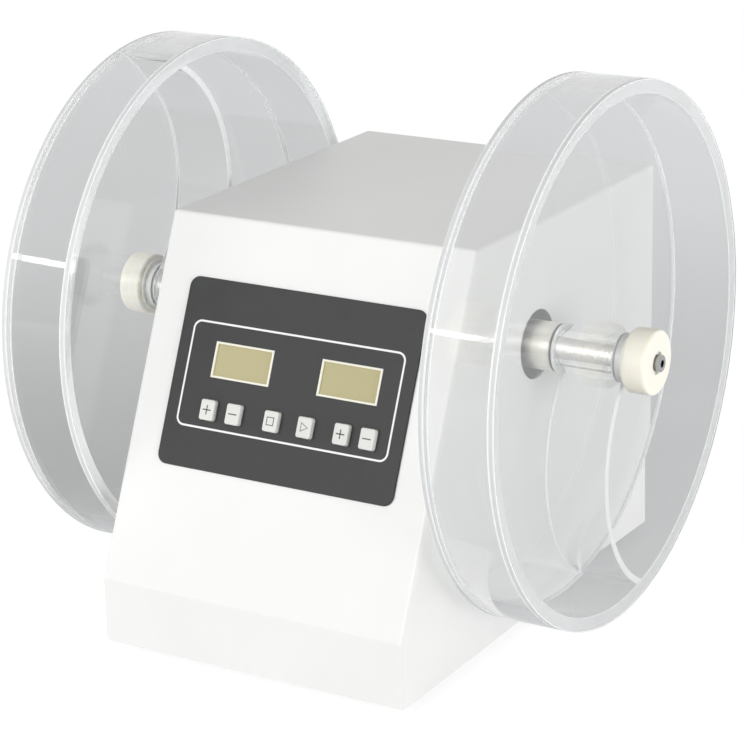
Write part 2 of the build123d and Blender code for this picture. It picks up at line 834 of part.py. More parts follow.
# Drums and what clamps them, the same on both ends; the baffles point opposite ways
for name, side in sides:
    with BuildPart() as spindle_collar:
        with BuildSketch(across(side, collar_inner_x)):
            with Locations((0, shaft_z)):
                Circle(collar_radius)
                Circle(spindle_radius + fit_clearance, mode=Mode.SUBTRACT)
        extrude(amount=side * (drum_inner_x - collar_inner_x))
        rims = spindle_collar.edges().filter_by(GeomType.CIRCLE).group_by(SortBy.RADIUS)[-1]
        chamfer(rims, edge_break)
        with BuildSketch(Plane.XY.offset(shaft_z)):
            with Locations((side * (collar_inner_x + collar_screw_inset), 0)):
                Circle(set_screw_radius + fit_clearance)
        extrude(amount=collar_radius + cut, mode=Mode.SUBTRACT)
    save(spindle_collar, f"{name}_spindle_collar")

    with BuildPart() as drum_back:
        with BuildSketch(across(side, drum_inner_x)):
            with Locations((0, shaft_z)):
                Circle(drum_radius)
                Circle(hub_bore_radius, mode=Mode.SUBTRACT)
        extrude(amount=side * disc_thickness)
        rims = drum_back.edges().filter_by(GeomType.CIRCLE).group_by(SortBy.RADIUS)[-1]
        chamfer(rims, edge_break)
    save(drum_back, f"{name}_drum_back")

    with BuildPart() as drum_ring:
        with BuildSketch(across(side, ring_start)):
            with Locations((0, shaft_z)):
                Circle(drum_radius)
                Circle(ring_inner, mode=Mode.SUBTRACT)
        extrude(amount=side * drum_depth)
        rims = drum_ring.edges().filter_by(GeomType.CIRCLE).group_by(SortBy.RADIUS)[-1]
        chamfer(rims, edge_break)
    save(drum_ring, f"{name}_drum_ring")

    with BuildPart() as drum_hub:
        with BuildSketch(across(side, ring_start)):
            with Locations((0, shaft_z)):
                Circle(hub_radius)
                Circle(hub_bore_radius, mode=Mode.SUBTRACT)
        extrude(amount=side * drum_depth)
    save(drum_hub, f"{name}_drum_hub")

    # Curved baffle: one arc from the hub out to the ring
    centre_y = side * baffle_centre_y
    centre_z = shaft_z + side * baffle_centre_z
    hub_direction = degrees(atan2(shaft_z - centre_z, -centre_y))
    with BuildPart() as drum_baffle:
        with BuildSketch(across(side, ring_start)):
            with Locations((centre_y, centre_z)):
                Circle(baffle_radius + baffle_thickness)
                Circle(baffle_radius, mode=Mode.SUBTRACT)
                Rectangle(
                    4 * drum_radius,
                    2 * drum_radius,
                    rotation=hub_direction,
                    align=(Align.CENTER, Align.MIN),
                    mode=Mode.INTERSECT,
                )
            with Locations((0, shaft_z)):
                Circle(ring_inner, mode=Mode.INTERSECT)
                Circle(hub_radius, mode=Mode.SUBTRACT)
        extrude(amount=side * (drum_depth - cover_gap))
    save(drum_baffle, f"{name}_drum_baffle")

    # Loose cover with a short boss that the nut's washer presses on
    with BuildPart() as drum_cover:
        with BuildSketch(across(side, ring_end)):
            with Locations((0, shaft_z)):
                Circle(drum_radius)
        extrude(amount=side * disc_thickness)
        rims = drum_cover.edges().filter_by(GeomType.CIRCLE).group_by(SortBy.RADIUS)[-1]
        chamfer(rims, edge_break)
        with BuildSketch(across(side, cover_face)):
            with Locations((0, shaft_z)):
                Circle(hub_radius)
        extrude(amount=side * hub_boss_length)
        with BuildSketch(across(side, ring_end)):
            with Locations((0, shaft_z)):
                Circle(hub_bore_radius)
        extrude(amount=side * (disc_thickness + hub_boss_length), mode=Mode.SUBTRACT)
    save(drum_cover, f"{name}_drum_cover")

    with BuildPart() as nut_washer:
        with BuildSketch(across(side, boss_face)):
            with Locations((0, shaft_z)):
                Circle(washer_radius)
                Circle(hub_bore_radius, mode=Mode.SUBTRACT)
        extrude(amount=side * washer_thickness)
    save(nut_washer, f"{name}_nut_washer")

    with BuildPart() as hand_nut:
        with BuildSketch(across(side, nut_start)):
            with Locations((0, shaft_z)):
                Circle(nut_radius)
        extrude(amount=side * nut_length)
        fillet(hand_nut.edges().filter_by(GeomType.CIRCLE), nut_edge)
        with BuildSketch(across(side, nut_start)):
            with Locations((0, shaft_z)):
                Circle(spindle_radius + nut_bore_clearance)
        extrude(amount=side * nut_length, mode=Mode.SUBTRACT)
    save(hand_nut, f"{name}_hand_nut")

# Grub screws of the gear, the index disc and the two collars
grub_places = (
    (-gear_outer_x + gear_width + gear_hub_length / 2, gear_hub_radius),
    (index_x - index_hub_length / 2, index_hub_radius),
    (-collar_inner_x - collar_screw_inset, collar_radius),
    (collar_inner_x + collar_screw_inset, collar_radius),
)
with BuildPart() as set_screws:
    for x, outer in grub_places:
        with BuildSketch(Plane.XY.offset(shaft_z + spindle_radius + fit_clearance)):
            with Locations((x, 0)):
                Circle(set_screw_radius)
        extrude(amount=outer - spindle_radius - set_screw_sink)
save(set_screws, "set_screws")

# Supply board on standoffs, and the mains transformer beside it
with BuildPart() as supply_standoffs:
    with BuildSketch(Plane.XY.offset(base_top)):
        with Locations(*supply_corners):
            Circle(standoff_radius)
            Circle(screw_radius + screw_clearance, mode=Mode.SUBTRACT)
    extrude(amount=supply_rise)
save(supply_standoffs, "supply_standoffs")

supply_floor = base_top + supply_rise
with BuildPart() as supply_board:
    with BuildSketch(Plane.XY.offset(supply_floor)):
        with Locations((supply_x, supply_y)):
            RectangleRounded(supply_width, supply_depth, board_corner)
    extrude(amount=supply_thickness)
    with BuildSketch(Plane.XY.offset(supply_floor + supply_thickness)):
        for j in (-1, 1):
            with Locations((supply_x + capacitor_place[0], supply_y + j * capacitor_place[1])):
                Circle(capacitor_radius)
        u, v, part_width, part_depth = supply_tall_block
        with Locations((supply_x + u, supply_y + v)):
            Rectangle(part_width, part_depth)
    extrude(amount=supply_tall)
    with BuildSketch(Plane.XY.offset(supply_floor + supply_thickness)):
        for u, v, part_width, part_depth in supply_low_blocks:
            with Locations((supply_x + u, supply_y + v)):
                Rectangle(part_width, part_depth)
    extrude(amount=supply_low)
save(supply_board, "supply_board")

with BuildPart() as transformer:
    with BuildSketch(Plane.XY.offset(base_top)):
        with Locations((transformer_x, transformer_y)):
            Rectangle(core_width, core_depth)
    extrude(amount=core_height)
    with BuildSketch(Plane.XY.offset(base_top + (core_height - coil_height) / 2)):
        with Locations((transformer_x, transformer_y)):
            RectangleRounded(coil_width, coil_depth, coil_corner)
    extrude(amount=coil_height)
save(transformer, "transformer")

# Mains inlet: flange outside, socket with three contacts inside
inlet_face = body_back + inlet_flange
with BuildPart() as mains_inlet:
    with BuildSketch(Plane.XZ.offset(-body_back)):
        with Locations((inlet_x, inlet_z)):
            RectangleRounded(inlet_flange_width, inlet_flange_height, inlet_corner)
    extrude(amount=-inlet_flange)
    rim = mains_inlet.faces().sort_by(Axis.Y)[-1].edges()
    chamfer(rim, edge_break)
    with BuildSketch(Plane.XZ.offset(-body_back)):
        with Locations((inlet_x, inlet_z)):
            Rectangle(inlet_body_width, inlet_body_height)
    extrude(amount=inlet_body_depth)
    with BuildSketch(Plane.XZ.offset(-inlet_face)) as socket_mouth:
        with Locations((inlet_x, inlet_z)):
            Rectangle(socket_width, socket_height)
        chamfer(socket_mouth.vertices().group_by(Axis.Y)[-1], socket_corner)
    extrude(amount=socket_hollow, mode=Mode.SUBTRACT)
    with BuildSketch(Plane.XZ.offset(-inlet_face + socket_hollow)):
        with Locations(
            (inlet_x - contact_spacing / 2, inlet_z - contact_offset),
            (inlet_x + contact_spacing / 2, inlet_z - contact_offset),
            (inlet_x, inlet_z + contact_offset),
        ):
            Rectangle(contact_width, contact_height)
    extrude(amount=-contact_length)
save(mains_inlet, "mains_inlet")

# Rocker switch: a housing with a hollow and a rocker on two pins
pivot_y = body_back + switch_bezel - rocker_rise - rocker_sink
hollow_width = rocker_width + 2 * rocker_side_gap
hollow_tall = rocker_tall + 2 * rocker_end_gap
with BuildPart() as switch_housing:
    with BuildSketch(Plane.XZ.offset(-body_back)):
        with Locations((switch_x, switch_z)):
            RectangleRounded(switch_width, switch_tall, switch_bezel_corner)
    extrude(amount=-switch_bezel)
    chamfer(switch_housing.faces().sort_by(Axis.Y)[-1].edges(), edge_break)
    with BuildSketch(Plane.XZ.offset(-body_back)):
        with Locations((switch_x, switch_z)):
            Rectangle(switch_body_width, switch_body_height)
    extrude(amount=switch_body_depth)
    with BuildSketch(Plane.XZ.offset(-body_back - switch_bezel)):
        with Locations((switch_x, switch_z)):
            Rectangle(hollow_width, hollow_tall)
    hollow_depth = body_back + switch_bezel - pivot_y + rocker_drop + rocker_floor_gap
    extrude(amount=hollow_depth, mode=Mode.SUBTRACT)
    with BuildSketch(Plane.YZ.offset(switch_x)):
        with Locations((pivot_y, switch_z)):
            Circle(rocker_pin_radius + running_clearance)
    extrude(amount=hollow_width / 2 + rocker_pin_length, both=True, mode=Mode.SUBTRACT)
save(switch_housing, "switch_housing")

rocker_end = rocker_rise + rocker_tall / 2 * tan(radians(rocker_tilt))
rocker_outline = [
    (rocker_rise, 0),
    (rocker_end, rocker_tall / 2),
    (0, rocker_tall / 2 - rocker_taper),
    (-rocker_drop, rocker_tall / 6),
    (-rocker_drop, -rocker_tall / 6),
    (0, -rocker_tall / 2 + rocker_taper),
    (rocker_end, -rocker_tall / 2),
]
pressed = radians(rocker_tilt)
turned_outline = [
    (pivot_y + y * cos(pressed) - z * sin(pressed), switch_z + y * sin(pressed) + z * cos(pressed))
    for y, z in rocker_outline
]
with BuildPart() as power_rocker:
    with BuildSketch(Plane.YZ.offset(switch_x)):
        with BuildLine():
            Polyline(*turned_outline, close=True)
        make_face()
    extrude(amount=rocker_width / 2, both=True)
    with BuildSketch(Plane.YZ.offset(switch_x)):
        with Locations((pivot_y, switch_z)):
            Circle(rocker_pin_radius)
    extrude(amount=hollow_width / 2 + rocker_pin_length - rocker_pin_gap, both=True)
save(power_rocker, "power_rocker")
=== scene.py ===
# %% [markdown]
# # A tablet friability tester
# Two clear acrylic drums turn on one spindle that passes through a white sheet metal housing. Tablets
# fall off a curved baffle in each drum, and their loss of weight says how crumbly they are.
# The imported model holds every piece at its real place, in metres. This lesson gives each surface its
# finish, and turns the clear pieces again with finer steps, because glass shows every facet.

import json
from math import acos, atan2, cos, degrees, hypot, pi, radians, sin

import bmesh
import bpy
from mathutils import Matrix, Vector

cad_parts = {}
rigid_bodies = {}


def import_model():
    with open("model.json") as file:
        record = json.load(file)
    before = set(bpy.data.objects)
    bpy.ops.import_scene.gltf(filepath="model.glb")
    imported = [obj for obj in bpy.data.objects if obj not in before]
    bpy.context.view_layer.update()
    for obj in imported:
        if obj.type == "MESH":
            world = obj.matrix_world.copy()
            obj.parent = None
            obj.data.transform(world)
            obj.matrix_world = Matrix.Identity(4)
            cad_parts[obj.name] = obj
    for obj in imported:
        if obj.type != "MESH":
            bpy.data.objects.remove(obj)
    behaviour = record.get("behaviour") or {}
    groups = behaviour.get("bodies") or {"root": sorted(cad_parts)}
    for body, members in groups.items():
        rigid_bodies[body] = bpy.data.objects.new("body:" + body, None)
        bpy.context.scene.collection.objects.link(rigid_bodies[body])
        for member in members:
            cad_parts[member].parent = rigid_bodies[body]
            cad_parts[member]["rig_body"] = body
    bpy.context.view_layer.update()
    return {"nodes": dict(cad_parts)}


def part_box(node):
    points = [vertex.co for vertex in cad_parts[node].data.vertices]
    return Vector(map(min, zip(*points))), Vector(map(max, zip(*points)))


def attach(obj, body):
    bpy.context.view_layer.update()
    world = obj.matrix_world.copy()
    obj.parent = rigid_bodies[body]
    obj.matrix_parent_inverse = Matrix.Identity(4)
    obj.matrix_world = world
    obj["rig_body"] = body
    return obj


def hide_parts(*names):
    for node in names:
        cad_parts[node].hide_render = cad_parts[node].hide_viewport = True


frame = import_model()
nodes = frame["nodes"]

# %% [markdown]
# ## Places taken from the frame
# A looks script stays right when it reads its places from the model instead of repeating them.
# The spindle's box gives the height of its axis, the ring's and the hub's boxes give the drum, and the
# label's box gives the middle of the sloped front. The few sizes that no box shows, such as a wall or
# the slope's two ends, are named here.

# %% Sizes of the drums and of the sloped front
spindle_low, spindle_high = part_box("spindle")
ring_low, ring_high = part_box("right_drum_ring")
back_low, back_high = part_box("right_drum_back")
cover_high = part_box("right_drum_cover")[1]
hub_low, hub_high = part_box("right_drum_hub")
nut_low, nut_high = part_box("right_hand_nut")
washer_low, washer_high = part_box("right_nut_washer")
baffle_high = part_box("right_drum_baffle")[1]

shaft_height = (spindle_low.z + spindle_high.z) / 2
drum_radius = (ring_high.z - ring_low.z) / 2
ring_wall = 0.008
hub_radius = (hub_high.z - hub_low.z) / 2
hub_bore = 0.0064
nut_radius = (nut_high.z - nut_low.z) / 2
nut_bore = 0.00605
nut_edge = 0.002
washer_radius = (washer_high.z - washer_low.z) / 2
disc_thickness = back_high.x - back_low.x
disc_edge = 0.0005
bond_gap = 0.00003
baffle_inner_radius = 0.0805
baffle_thickness = 0.004
baffle_centre = (0.0645, -0.0675)

slope_foot = Vector((0, -0.1455, 0.043))
slope_top = Vector((0, -0.0615, 0.234))
slope = (slope_top - slope_foot).normalized()
slope_out = Vector((0, -slope.z, slope.y))
label_low, label_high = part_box("control_label")
label_centre = (label_low + label_high) / 2
label_vertices = nodes["control_label"].data.vertices
label_height = max((vertex.co - label_centre).dot(slope_out) for vertex in label_vertices)
label_middle = label_centre + slope_out * label_height
print("shaft height", round(shaft_height, 4), "drum radius", round(drum_radius, 4))
print("label face", tuple(round(v, 4) for v in label_middle))


# %% [markdown]
# ## The camera
# A product picture is taken from far off with a long lens, so that the drums stay nearly round. The
# camera stands to the right and a little above, and is turned first by its compass angle, then by
# its tilt, then by a small roll that the picture shows.

# %% Camera at the picture's angle
camera_place = Vector((0.7371, -1.2349, 0.6166))
camera_azimuth = radians(31.052)
camera_elevation = radians(18.524)
camera_roll = radians(-1.234)
camera_lens = 128.88

turned = Matrix.Rotation(camera_azimuth, 4, "Z") @ Matrix.Rotation(pi / 2 - camera_elevation, 4, "X")
camera_data = bpy.data.cameras.new("picture_camera")
camera_data.lens = camera_lens
camera_data.sensor_width = 36
camera_data.clip_start = 0.05
camera_data.clip_end = 60
camera = bpy.data.objects.new("picture_camera", camera_data)
camera.matrix_world = Matrix.Translation(camera_place) @ turned @ Matrix.Rotation(camera_roll, 4, "Z")
bpy.context.scene.collection.objects.link(camera)
bpy.context.scene.camera = camera
bpy.context.scene.view_settings.view_transform = "Standard"
print("camera at", tuple(camera_place), "lens", camera_lens)

# %% [markdown]
# ## Building node trees by script
# Shader and geometry trees are both made of nodes and links. One helper adds a node, sets its
# options, and fills each input with either a value or another node's output. A second does sums.

# %% Helpers for node trees
def add_node(tree, kind, inputs=None, **settings):
    """A new node; inputs maps a socket's name or number to a value or to another socket."""
    made = tree.nodes.new(kind)
    for name, value in settings.items():
        setattr(made, name, value)
    for name, value in (inputs or {}).items():
        if isinstance(value, bpy.types.NodeSocket):
            tree.links.new(value, made.inputs[name])
        else:
            made.inputs[name].default_value = value
    return made


def calc(tree, operation, first, second=0.0):
    """The result socket of one Math node."""
    return add_node(tree, "ShaderNodeMath", {0: first, 1: second}, operation=operation).outputs[0]


def new_group(name, kind, inputs, outputs):
    """An empty node group with typed sockets, and its input and output nodes."""
    tree = bpy.data.node_groups.new(name, kind)
    for label, socket_type, value in inputs:
        socket = tree.interface.new_socket(label, in_out="INPUT", socket_type=socket_type)
        if value is not None:
            socket.default_value = value
    for label, socket_type in outputs:
        tree.interface.new_socket(label, in_out="OUTPUT", socket_type=socket_type)
    return tree, add_node(tree, "NodeGroupInput"), add_node(tree, "NodeGroupOutput")


def empty_tree(owner):
    """The cleared node tree of a material or of the world."""
    owner.use_nodes = True
    owner.node_tree.nodes.clear()
    return owner.node_tree


print("helpers ready")

# %% [markdown]
# ## Effects that several finishes share
# Real surfaces are never one flat colour. Four small groups give what repeats over many pieces: the
# orange peel of powder coat, the fine grain of moulded plastic, the rings that a lathe leaves, and the
# haze that hands and cloths leave on a smooth face. Each reads Object coordinates, so a pattern is
# tied to the piece and keeps its real scale, and each puts out plain values for a material to use.

# %% Surface effect groups
FLOAT = "NodeSocketFloat"


def object_place(tree):
    """The socket that gives each point's place on its own piece, in metres."""
    return add_node(tree, "ShaderNodeTexCoord").outputs["Object"]


def noise(tree, place, per_metre, detail, twist=0.0):
    """A soft random pattern from 0 to 1, with so many bumps to a metre."""
    inputs = {"Vector": place, "Scale": per_metre, "Detail": detail, "Distortion": twist}
    return add_node(tree, "ShaderNodeTexNoise", inputs).outputs["Fac"]


def bumps_and_patches(name, size, bump_detail, patches_per_metre, patch_detail):
    """A group with fine bumps of one size as Height, and wide soft patches as Mottle."""
    tree, group_in, group_out = new_group(
        name, "ShaderNodeTree", [("Size", FLOAT, size)], [("Height", FLOAT), ("Mottle", FLOAT)]
    )
    place = object_place(tree)
    bumps_per_metre = calc(tree, "DIVIDE", 1.0, group_in.outputs["Size"])
    tree.links.new(noise(tree, place, bumps_per_metre, bump_detail), group_out.inputs["Height"])
    tree.links.new(noise(tree, place, patches_per_metre, patch_detail), group_out.inputs["Mottle"])
    return tree


peel = bumps_and_patches(
    "powder_peel", size=0.0012, bump_detail=2.0, patches_per_metre=14.0, patch_detail=3.0
)
grain = bumps_and_patches(
    "moulded_grain", size=0.0004, bump_detail=4.0, patches_per_metre=60.0, patch_detail=4.0
)

wide_rings_per_metre = 900.0
lathe, lathe_in, lathe_out = new_group(
    "lathe_rings",
    "ShaderNodeTree",
    [("Axis height", FLOAT, shaft_height), ("Feed", FLOAT, 0.0003)],
    [("Height", FLOAT), ("Streak", FLOAT)],
)
split = add_node(lathe, "ShaderNodeSeparateXYZ", {0: object_place(lathe)}).outputs
above = calc(lathe, "SUBTRACT", split["Z"], lathe_in.outputs["Axis height"])
across = calc(lathe, "POWER", split["Y"], 2.0)
from_axis = calc(lathe, "SQRT", calc(lathe, "ADD", across, calc(lathe, "POWER", above, 2.0)))
along_cut = add_node(lathe, "ShaderNodeCombineXYZ", {"X": split["X"], "Y": from_axis}).outputs[0]
rings_per_metre = calc(lathe, "DIVIDE", 1.0, lathe_in.outputs["Feed"])
lathe.links.new(noise(lathe, along_cut, rings_per_metre, 2.0), lathe_out.inputs["Height"])
lathe.links.new(noise(lathe, along_cut, wide_rings_per_metre, 3.0), lathe_out.inputs["Streak"])

haze, haze_in, haze_out = new_group(
    "hand_haze",
    "ShaderNodeTree",
    [("Clean", FLOAT, 0.02), ("Dull", FLOAT, 0.08)],
    [("Roughness", FLOAT), ("Ripple", FLOAT)],
)
smears = noise(haze, object_place(haze), per_metre=9.0, detail=6.0, twist=1.2)
clean_to, dull_from = 0.42, 0.72
clean, dull = haze_in.outputs["Clean"], haze_in.outputs["Dull"]
hazed = {"Value": smears, "From Min": clean_to, "From Max": dull_from, "To Min": clean, "To Max": dull}
patch = add_node(haze, "ShaderNodeMapRange", hazed).outputs[0]
ripple = noise(haze, object_place(haze), per_metre=22.0, detail=1.0)
haze.links.new(patch, haze_out.inputs["Roughness"])
haze.links.new(ripple, haze_out.inputs["Ripple"])
print("effect groups", [tree.name for tree in (peel, grain, lathe, haze)])

# %% [markdown]
# ## From effects to finishes
# A finish is one Principled shader. Its colour is a blend of two close tones, its roughness moves a
# little, and a Bump node turns a group's height into a normal. One helper builds all the plain
# finishes, because they differ only in these numbers. What is the same all over a surface, such as
# metallic or specular level, is set on the shader itself.

# %% The finish helper
noise_low, noise_high = 0.3, 0.7


def spread(tree, value, low, high):
    """A noise pattern, which seldom leaves its middle values, moved to the range low to high."""
    span = {"Value": value, "From Min": noise_low, "From Max": noise_high, "To Min": low, "To Max": high}
    return add_node(tree, "ShaderNodeMapRange", span).outputs[0]


def blend_colours(tree, value, one, other):
    """A colour between two tones, by a value that wanders round a half."""
    mix = add_node(tree, "ShaderNodeMix", {0: spread(tree, value, 0.0, 1.0)}, data_type="RGBA")
    mix.inputs["A"].default_value = (*one, 1)
    mix.inputs["B"].default_value = (*other, 1)
    return mix.outputs["Result"]


def new_finish(name):
    """A material with an empty tree, its Principled shader and its output."""
    material = bpy.data.materials.new(name)
    tree = empty_tree(material)
    shader = add_node(tree, "ShaderNodeBsdfPrincipled")
    output = add_node(tree, "ShaderNodeOutputMaterial", {"Surface": shader.outputs["BSDF"]})
    return material, tree, shader, output


def plain_finish(name, effect, size, tones, rough, depth, constants):
    """A finish from one effect group, whose last input is its size, with constants for the shader."""
    material, tree, shader, _ = new_finish(name)
    group = add_node(tree, "ShaderNodeGroup", {-1: size}, node_tree=effect)
    height, wander = group.outputs
    bump = add_node(tree, "ShaderNodeBump", {"Height": height, "Distance": depth, "Strength": 1.0})
    tree.links.new(blend_colours(tree, wander, *tones), shader.inputs["Base Color"])
    tree.links.new(spread(tree, wander, *rough), shader.inputs["Roughness"])
    tree.links.new(bump.outputs[0], shader.inputs["Normal"])
    for label, value in constants.items():
        shader.inputs[label].default_value = value
    return material


print("finish helper ready")

# %% [markdown]
# ## The finishes of this object
# The housing is powder coated: a warm white with a faint orange peel. The label is a dark satin film.
# Keys, displays and frames are moulded or printed. The spindle and its collars are turned steel, so
# their rings run round the spindle's axis. The nuts and their washers are ivory nylon, which lets a
# little light in. One row of a table gives a finish its effect and the size of it, two tones, a
# roughness range and how deep the bumps are, in metres.

# %% Coats, films and inks
finish_of = {}


def make_finishes(table, shared=None, own=None):
    """Makes each finish of a table, with constants that all share and constants of its own."""
    for name, values in table.items():
        constants = {**(shared or {}), **(own or {}).get(name, {})}
        finish_of[name] = plain_finish(name, *values, constants)
    print("finishes", *table)


coats = {
    "casing_powder_coat": (peel, 0.0011, ((0.8, 0.8, 0.785), (0.83, 0.83, 0.82)), (0.38, 0.46), 0.00002),
    # painted shade: a dark tone for the shaded inside of the housing, whose real paint is white
    "painted_inner_shade": (peel, 0.0014, ((0.055, 0.055, 0.056), (0.075, 0.075, 0.076)), (0.6, 0.7), 0.00002),
    "label_film": (grain, 0.00035, ((0.032, 0.032, 0.033), (0.039, 0.039, 0.04)), (0.42, 0.52), 0.000012),
    "print_white": (grain, 0.0003, ((0.8, 0.8, 0.78), (0.86, 0.86, 0.85)), (0.5, 0.6), 0.000004),
    "print_dark": (grain, 0.0003, ((0.1, 0.1, 0.095), (0.14, 0.14, 0.13)), (0.5, 0.6), 0.000004),
}
gloss = {"casing_powder_coat": {"Specular IOR Level": 0.45}, "label_film": {"Specular IOR Level": 0.4}}
make_finishes(coats, own=gloss)

# %% Plastics, rubber, boards and the motor's grey
moulded = {
    "key_plastic": (grain, 0.0005, ((0.66, 0.66, 0.63), (0.72, 0.72, 0.69)), (0.4, 0.5), 0.00001),
    "bezel_plastic": (grain, 0.0004, ((0.8, 0.78, 0.66), (0.86, 0.84, 0.74)), (0.4, 0.5), 0.00001),
    "display_glass": (grain, 0.0012, ((0.416, 0.375, 0.192), (0.42, 0.379, 0.195)), (0.26, 0.27), 0.000006),
    "black_moulding": (grain, 0.0006, ((0.016, 0.016, 0.017), (0.026, 0.026, 0.027)), (0.38, 0.5), 0.00002),
    "soft_rubber": (grain, 0.0008, ((0.018, 0.018, 0.018), (0.035, 0.034, 0.033)), (0.7, 0.85), 0.00004),
    "ivory_nylon": (lathe, 0.0007, ((0.87, 0.835, 0.72), (0.93, 0.91, 0.83)), (0.34, 0.44), 0.000012),
    "board_green": (grain, 0.0015, ((0.015, 0.11, 0.045), (0.03, 0.17, 0.07)), (0.25, 0.4), 0.00003),
    "motor_grey": (grain, 0.001, ((0.09, 0.1, 0.11), (0.13, 0.14, 0.15)), (0.4, 0.5), 0.00002),
}
display_coat = {"Coat Weight": 0.4, "Coat Roughness": 0.08}
nylon_depth = {"Subsurface Weight": 0.35, "Subsurface Scale": 0.004}
nylon_depth["Subsurface Radius"] = (1.0, 0.75, 0.45)
make_finishes(moulded, own={"display_glass": display_coat, "ivory_nylon": nylon_depth})
nylon = finish_of["ivory_nylon"]

# %% Metals
metals = {
    "lathed_steel": (lathe, 0.00025, ((0.78, 0.77, 0.75), (0.9, 0.89, 0.87)), (0.24, 0.38), 0.000008),
    # painted highlight: a near-white steel tone that stands for the brightly lit thread
    "thread_steel_painted_bright": (lathe, 0.00025, ((0.94, 0.93, 0.9), (1.0, 0.99, 0.97)), (0.42, 0.54), 0.000008),
    # painted dark reflection: a dark steel tone that stands for dark reflections in the nose
    "nose_steel_painted_dark": (lathe, 0.0004, ((0.34, 0.34, 0.35), (0.46, 0.46, 0.46)), (0.1, 0.18), 0.000004),
    "satin_steel": (lathe, 0.0003, ((0.84, 0.81, 0.72), (0.92, 0.9, 0.82)), (0.38, 0.5), 0.000008),
    "zinc_plate": (grain, 0.0009, ((0.5, 0.51, 0.52), (0.62, 0.63, 0.65)), (0.3, 0.42), 0.00001),
    "blackened_steel": (grain, 0.0009, ((0.03, 0.031, 0.033), (0.05, 0.051, 0.053)), (0.4, 0.52), 0.00001),
    "screw_nickel": (grain, 0.0005, ((0.58, 0.57, 0.55), (0.68, 0.67, 0.65)), (0.22, 0.34), 0.000008),
    "oiled_bronze": (lathe, 0.0003, ((0.5, 0.32, 0.15), (0.6, 0.42, 0.22)), (0.28, 0.4), 0.000008),
    "pin_brass": (grain, 0.0005, ((0.66, 0.5, 0.24), (0.74, 0.6, 0.32)), (0.22, 0.34), 0.000006),
    "disc_aluminium": (lathe, 0.0004, ((0.66, 0.67, 0.68), (0.76, 0.77, 0.78)), (0.25, 0.38), 0.000008),
}
make_finishes(metals, shared={"Metallic": 1.0})

# %% [markdown]
# ## Clear acrylic
# Cast acrylic bends light by 1.49. Its polished faces are almost invisible. What the eye sees are the
# reflections, the ends that were sawn, which are frosted, the ends of the ring, which were turned and
# are nearly clear, and the scraped corners, which catch the light as thin white lines. So each clear
# piece gets three of these four materials. Lamps would cast black shadows through real glass in a path
# tracer, so rays that only carry light pass straight through, a little dimmed.

# %% Acrylic faces, cut ends and scraped corners
acrylic_bend = 1.49


def clear_finish(name, colour, clear_share, clean, dull, passes, ripple_depth=0.0):
    """Acrylic that is clear_share see-through, clean to dull in roughness, and passes light rays."""
    material, tree, shader, output = new_finish(name)
    group = add_node(tree, "ShaderNodeGroup", {"Clean": clean, "Dull": dull}, node_tree=haze)
    tree.links.new(group.outputs["Roughness"], shader.inputs["Roughness"])
    waves = {"Height": group.outputs["Ripple"], "Distance": ripple_depth, "Strength": 1.0}
    tree.links.new(add_node(tree, "ShaderNodeBump", waves).outputs[0], shader.inputs["Normal"])
    shader.inputs["Base Color"].default_value = (*colour, 1)
    shader.inputs["IOR"].default_value = acrylic_bend
    shader.inputs["Transmission Weight"].default_value = clear_share
    path = add_node(tree, "ShaderNodeLightPath").outputs
    light_only = calc(tree, "MAXIMUM", path["Is Shadow Ray"], path["Is Diffuse Ray"])
    straight = add_node(tree, "ShaderNodeBsdfTransparent", {"Color": (*passes, 1)})
    joined = add_node(
        tree, "ShaderNodeMixShader", {0: light_only, 1: shader.outputs[0], 2: straight.outputs[0]}
    )
    tree.links.new(joined.outputs[0], output.inputs["Surface"])
    return material


face_passes, cut_passes = (0.97, 0.972, 0.972), (0.9, 0.91, 0.91)
acrylic = clear_finish("acrylic_face", (0.99, 0.993, 0.993), 1.0, 0.0, 0.03, face_passes, 0.00001)
cut_end = clear_finish("acrylic_cut_end", (0.95, 0.958, 0.962), 0.35, 0.3, 0.42, cut_passes)
ring_end = clear_finish("acrylic_ring_end", (0.94, 0.948, 0.952), 0.65, 0.16, 0.26, cut_passes)
corner = clear_finish("acrylic_corner", (0.95, 0.96, 0.96), 0.1, 0.35, 0.5, cut_passes)
print("acrylic bends light by", acrylic_bend)

# %% [markdown]
# ## Turned pieces by Geometry Nodes
# A disc, tube, washer or knob is one rule: a closed profile carried round an axis. The tree below lays a
# grid with one column for each step round and one row for each point of the profile, looks each point
# up by its index, and turns it round the spindle's axis. Each profile point also says what the
# stretch after it is: 0 for a face, 1 for a cut end and 2 for a corner. The tree gives each kind of
# stretch its own material.

# %% The turning tree: a grid of columns and rows
GEOMETRY, INTEGER, MATERIAL = "NodeSocketGeometry", "NodeSocketInt", "NodeSocketMaterial"
merge_distance = 0.0000005
turning, turning_in, turning_out = new_group(
    "turned_piece",
    "GeometryNodeTree",
    [
        ("Profile", GEOMETRY, None),
        ("Steps round", INTEGER, 256),
        ("Axis height", FLOAT, shaft_height),
        ("Face finish", MATERIAL, None),
        ("End finish", MATERIAL, None),
        ("Corner finish", MATERIAL, None),
    ],
    [("Piece", GEOMETRY)],
)
profile = turning_in.outputs["Profile"]
profile_count = add_node(turning, "GeometryNodeAttributeDomainSize", {0: profile}).outputs["Point Count"]
rows = calc(turning, "ADD", profile_count, 1.0)
columns = calc(turning, "ADD", turning_in.outputs["Steps round"], 1.0)
grid = add_node(turning, "GeometryNodeMeshGrid", {"Vertices X": columns, "Vertices Y": rows})
print("nodes up to the grid", len(turning.nodes))

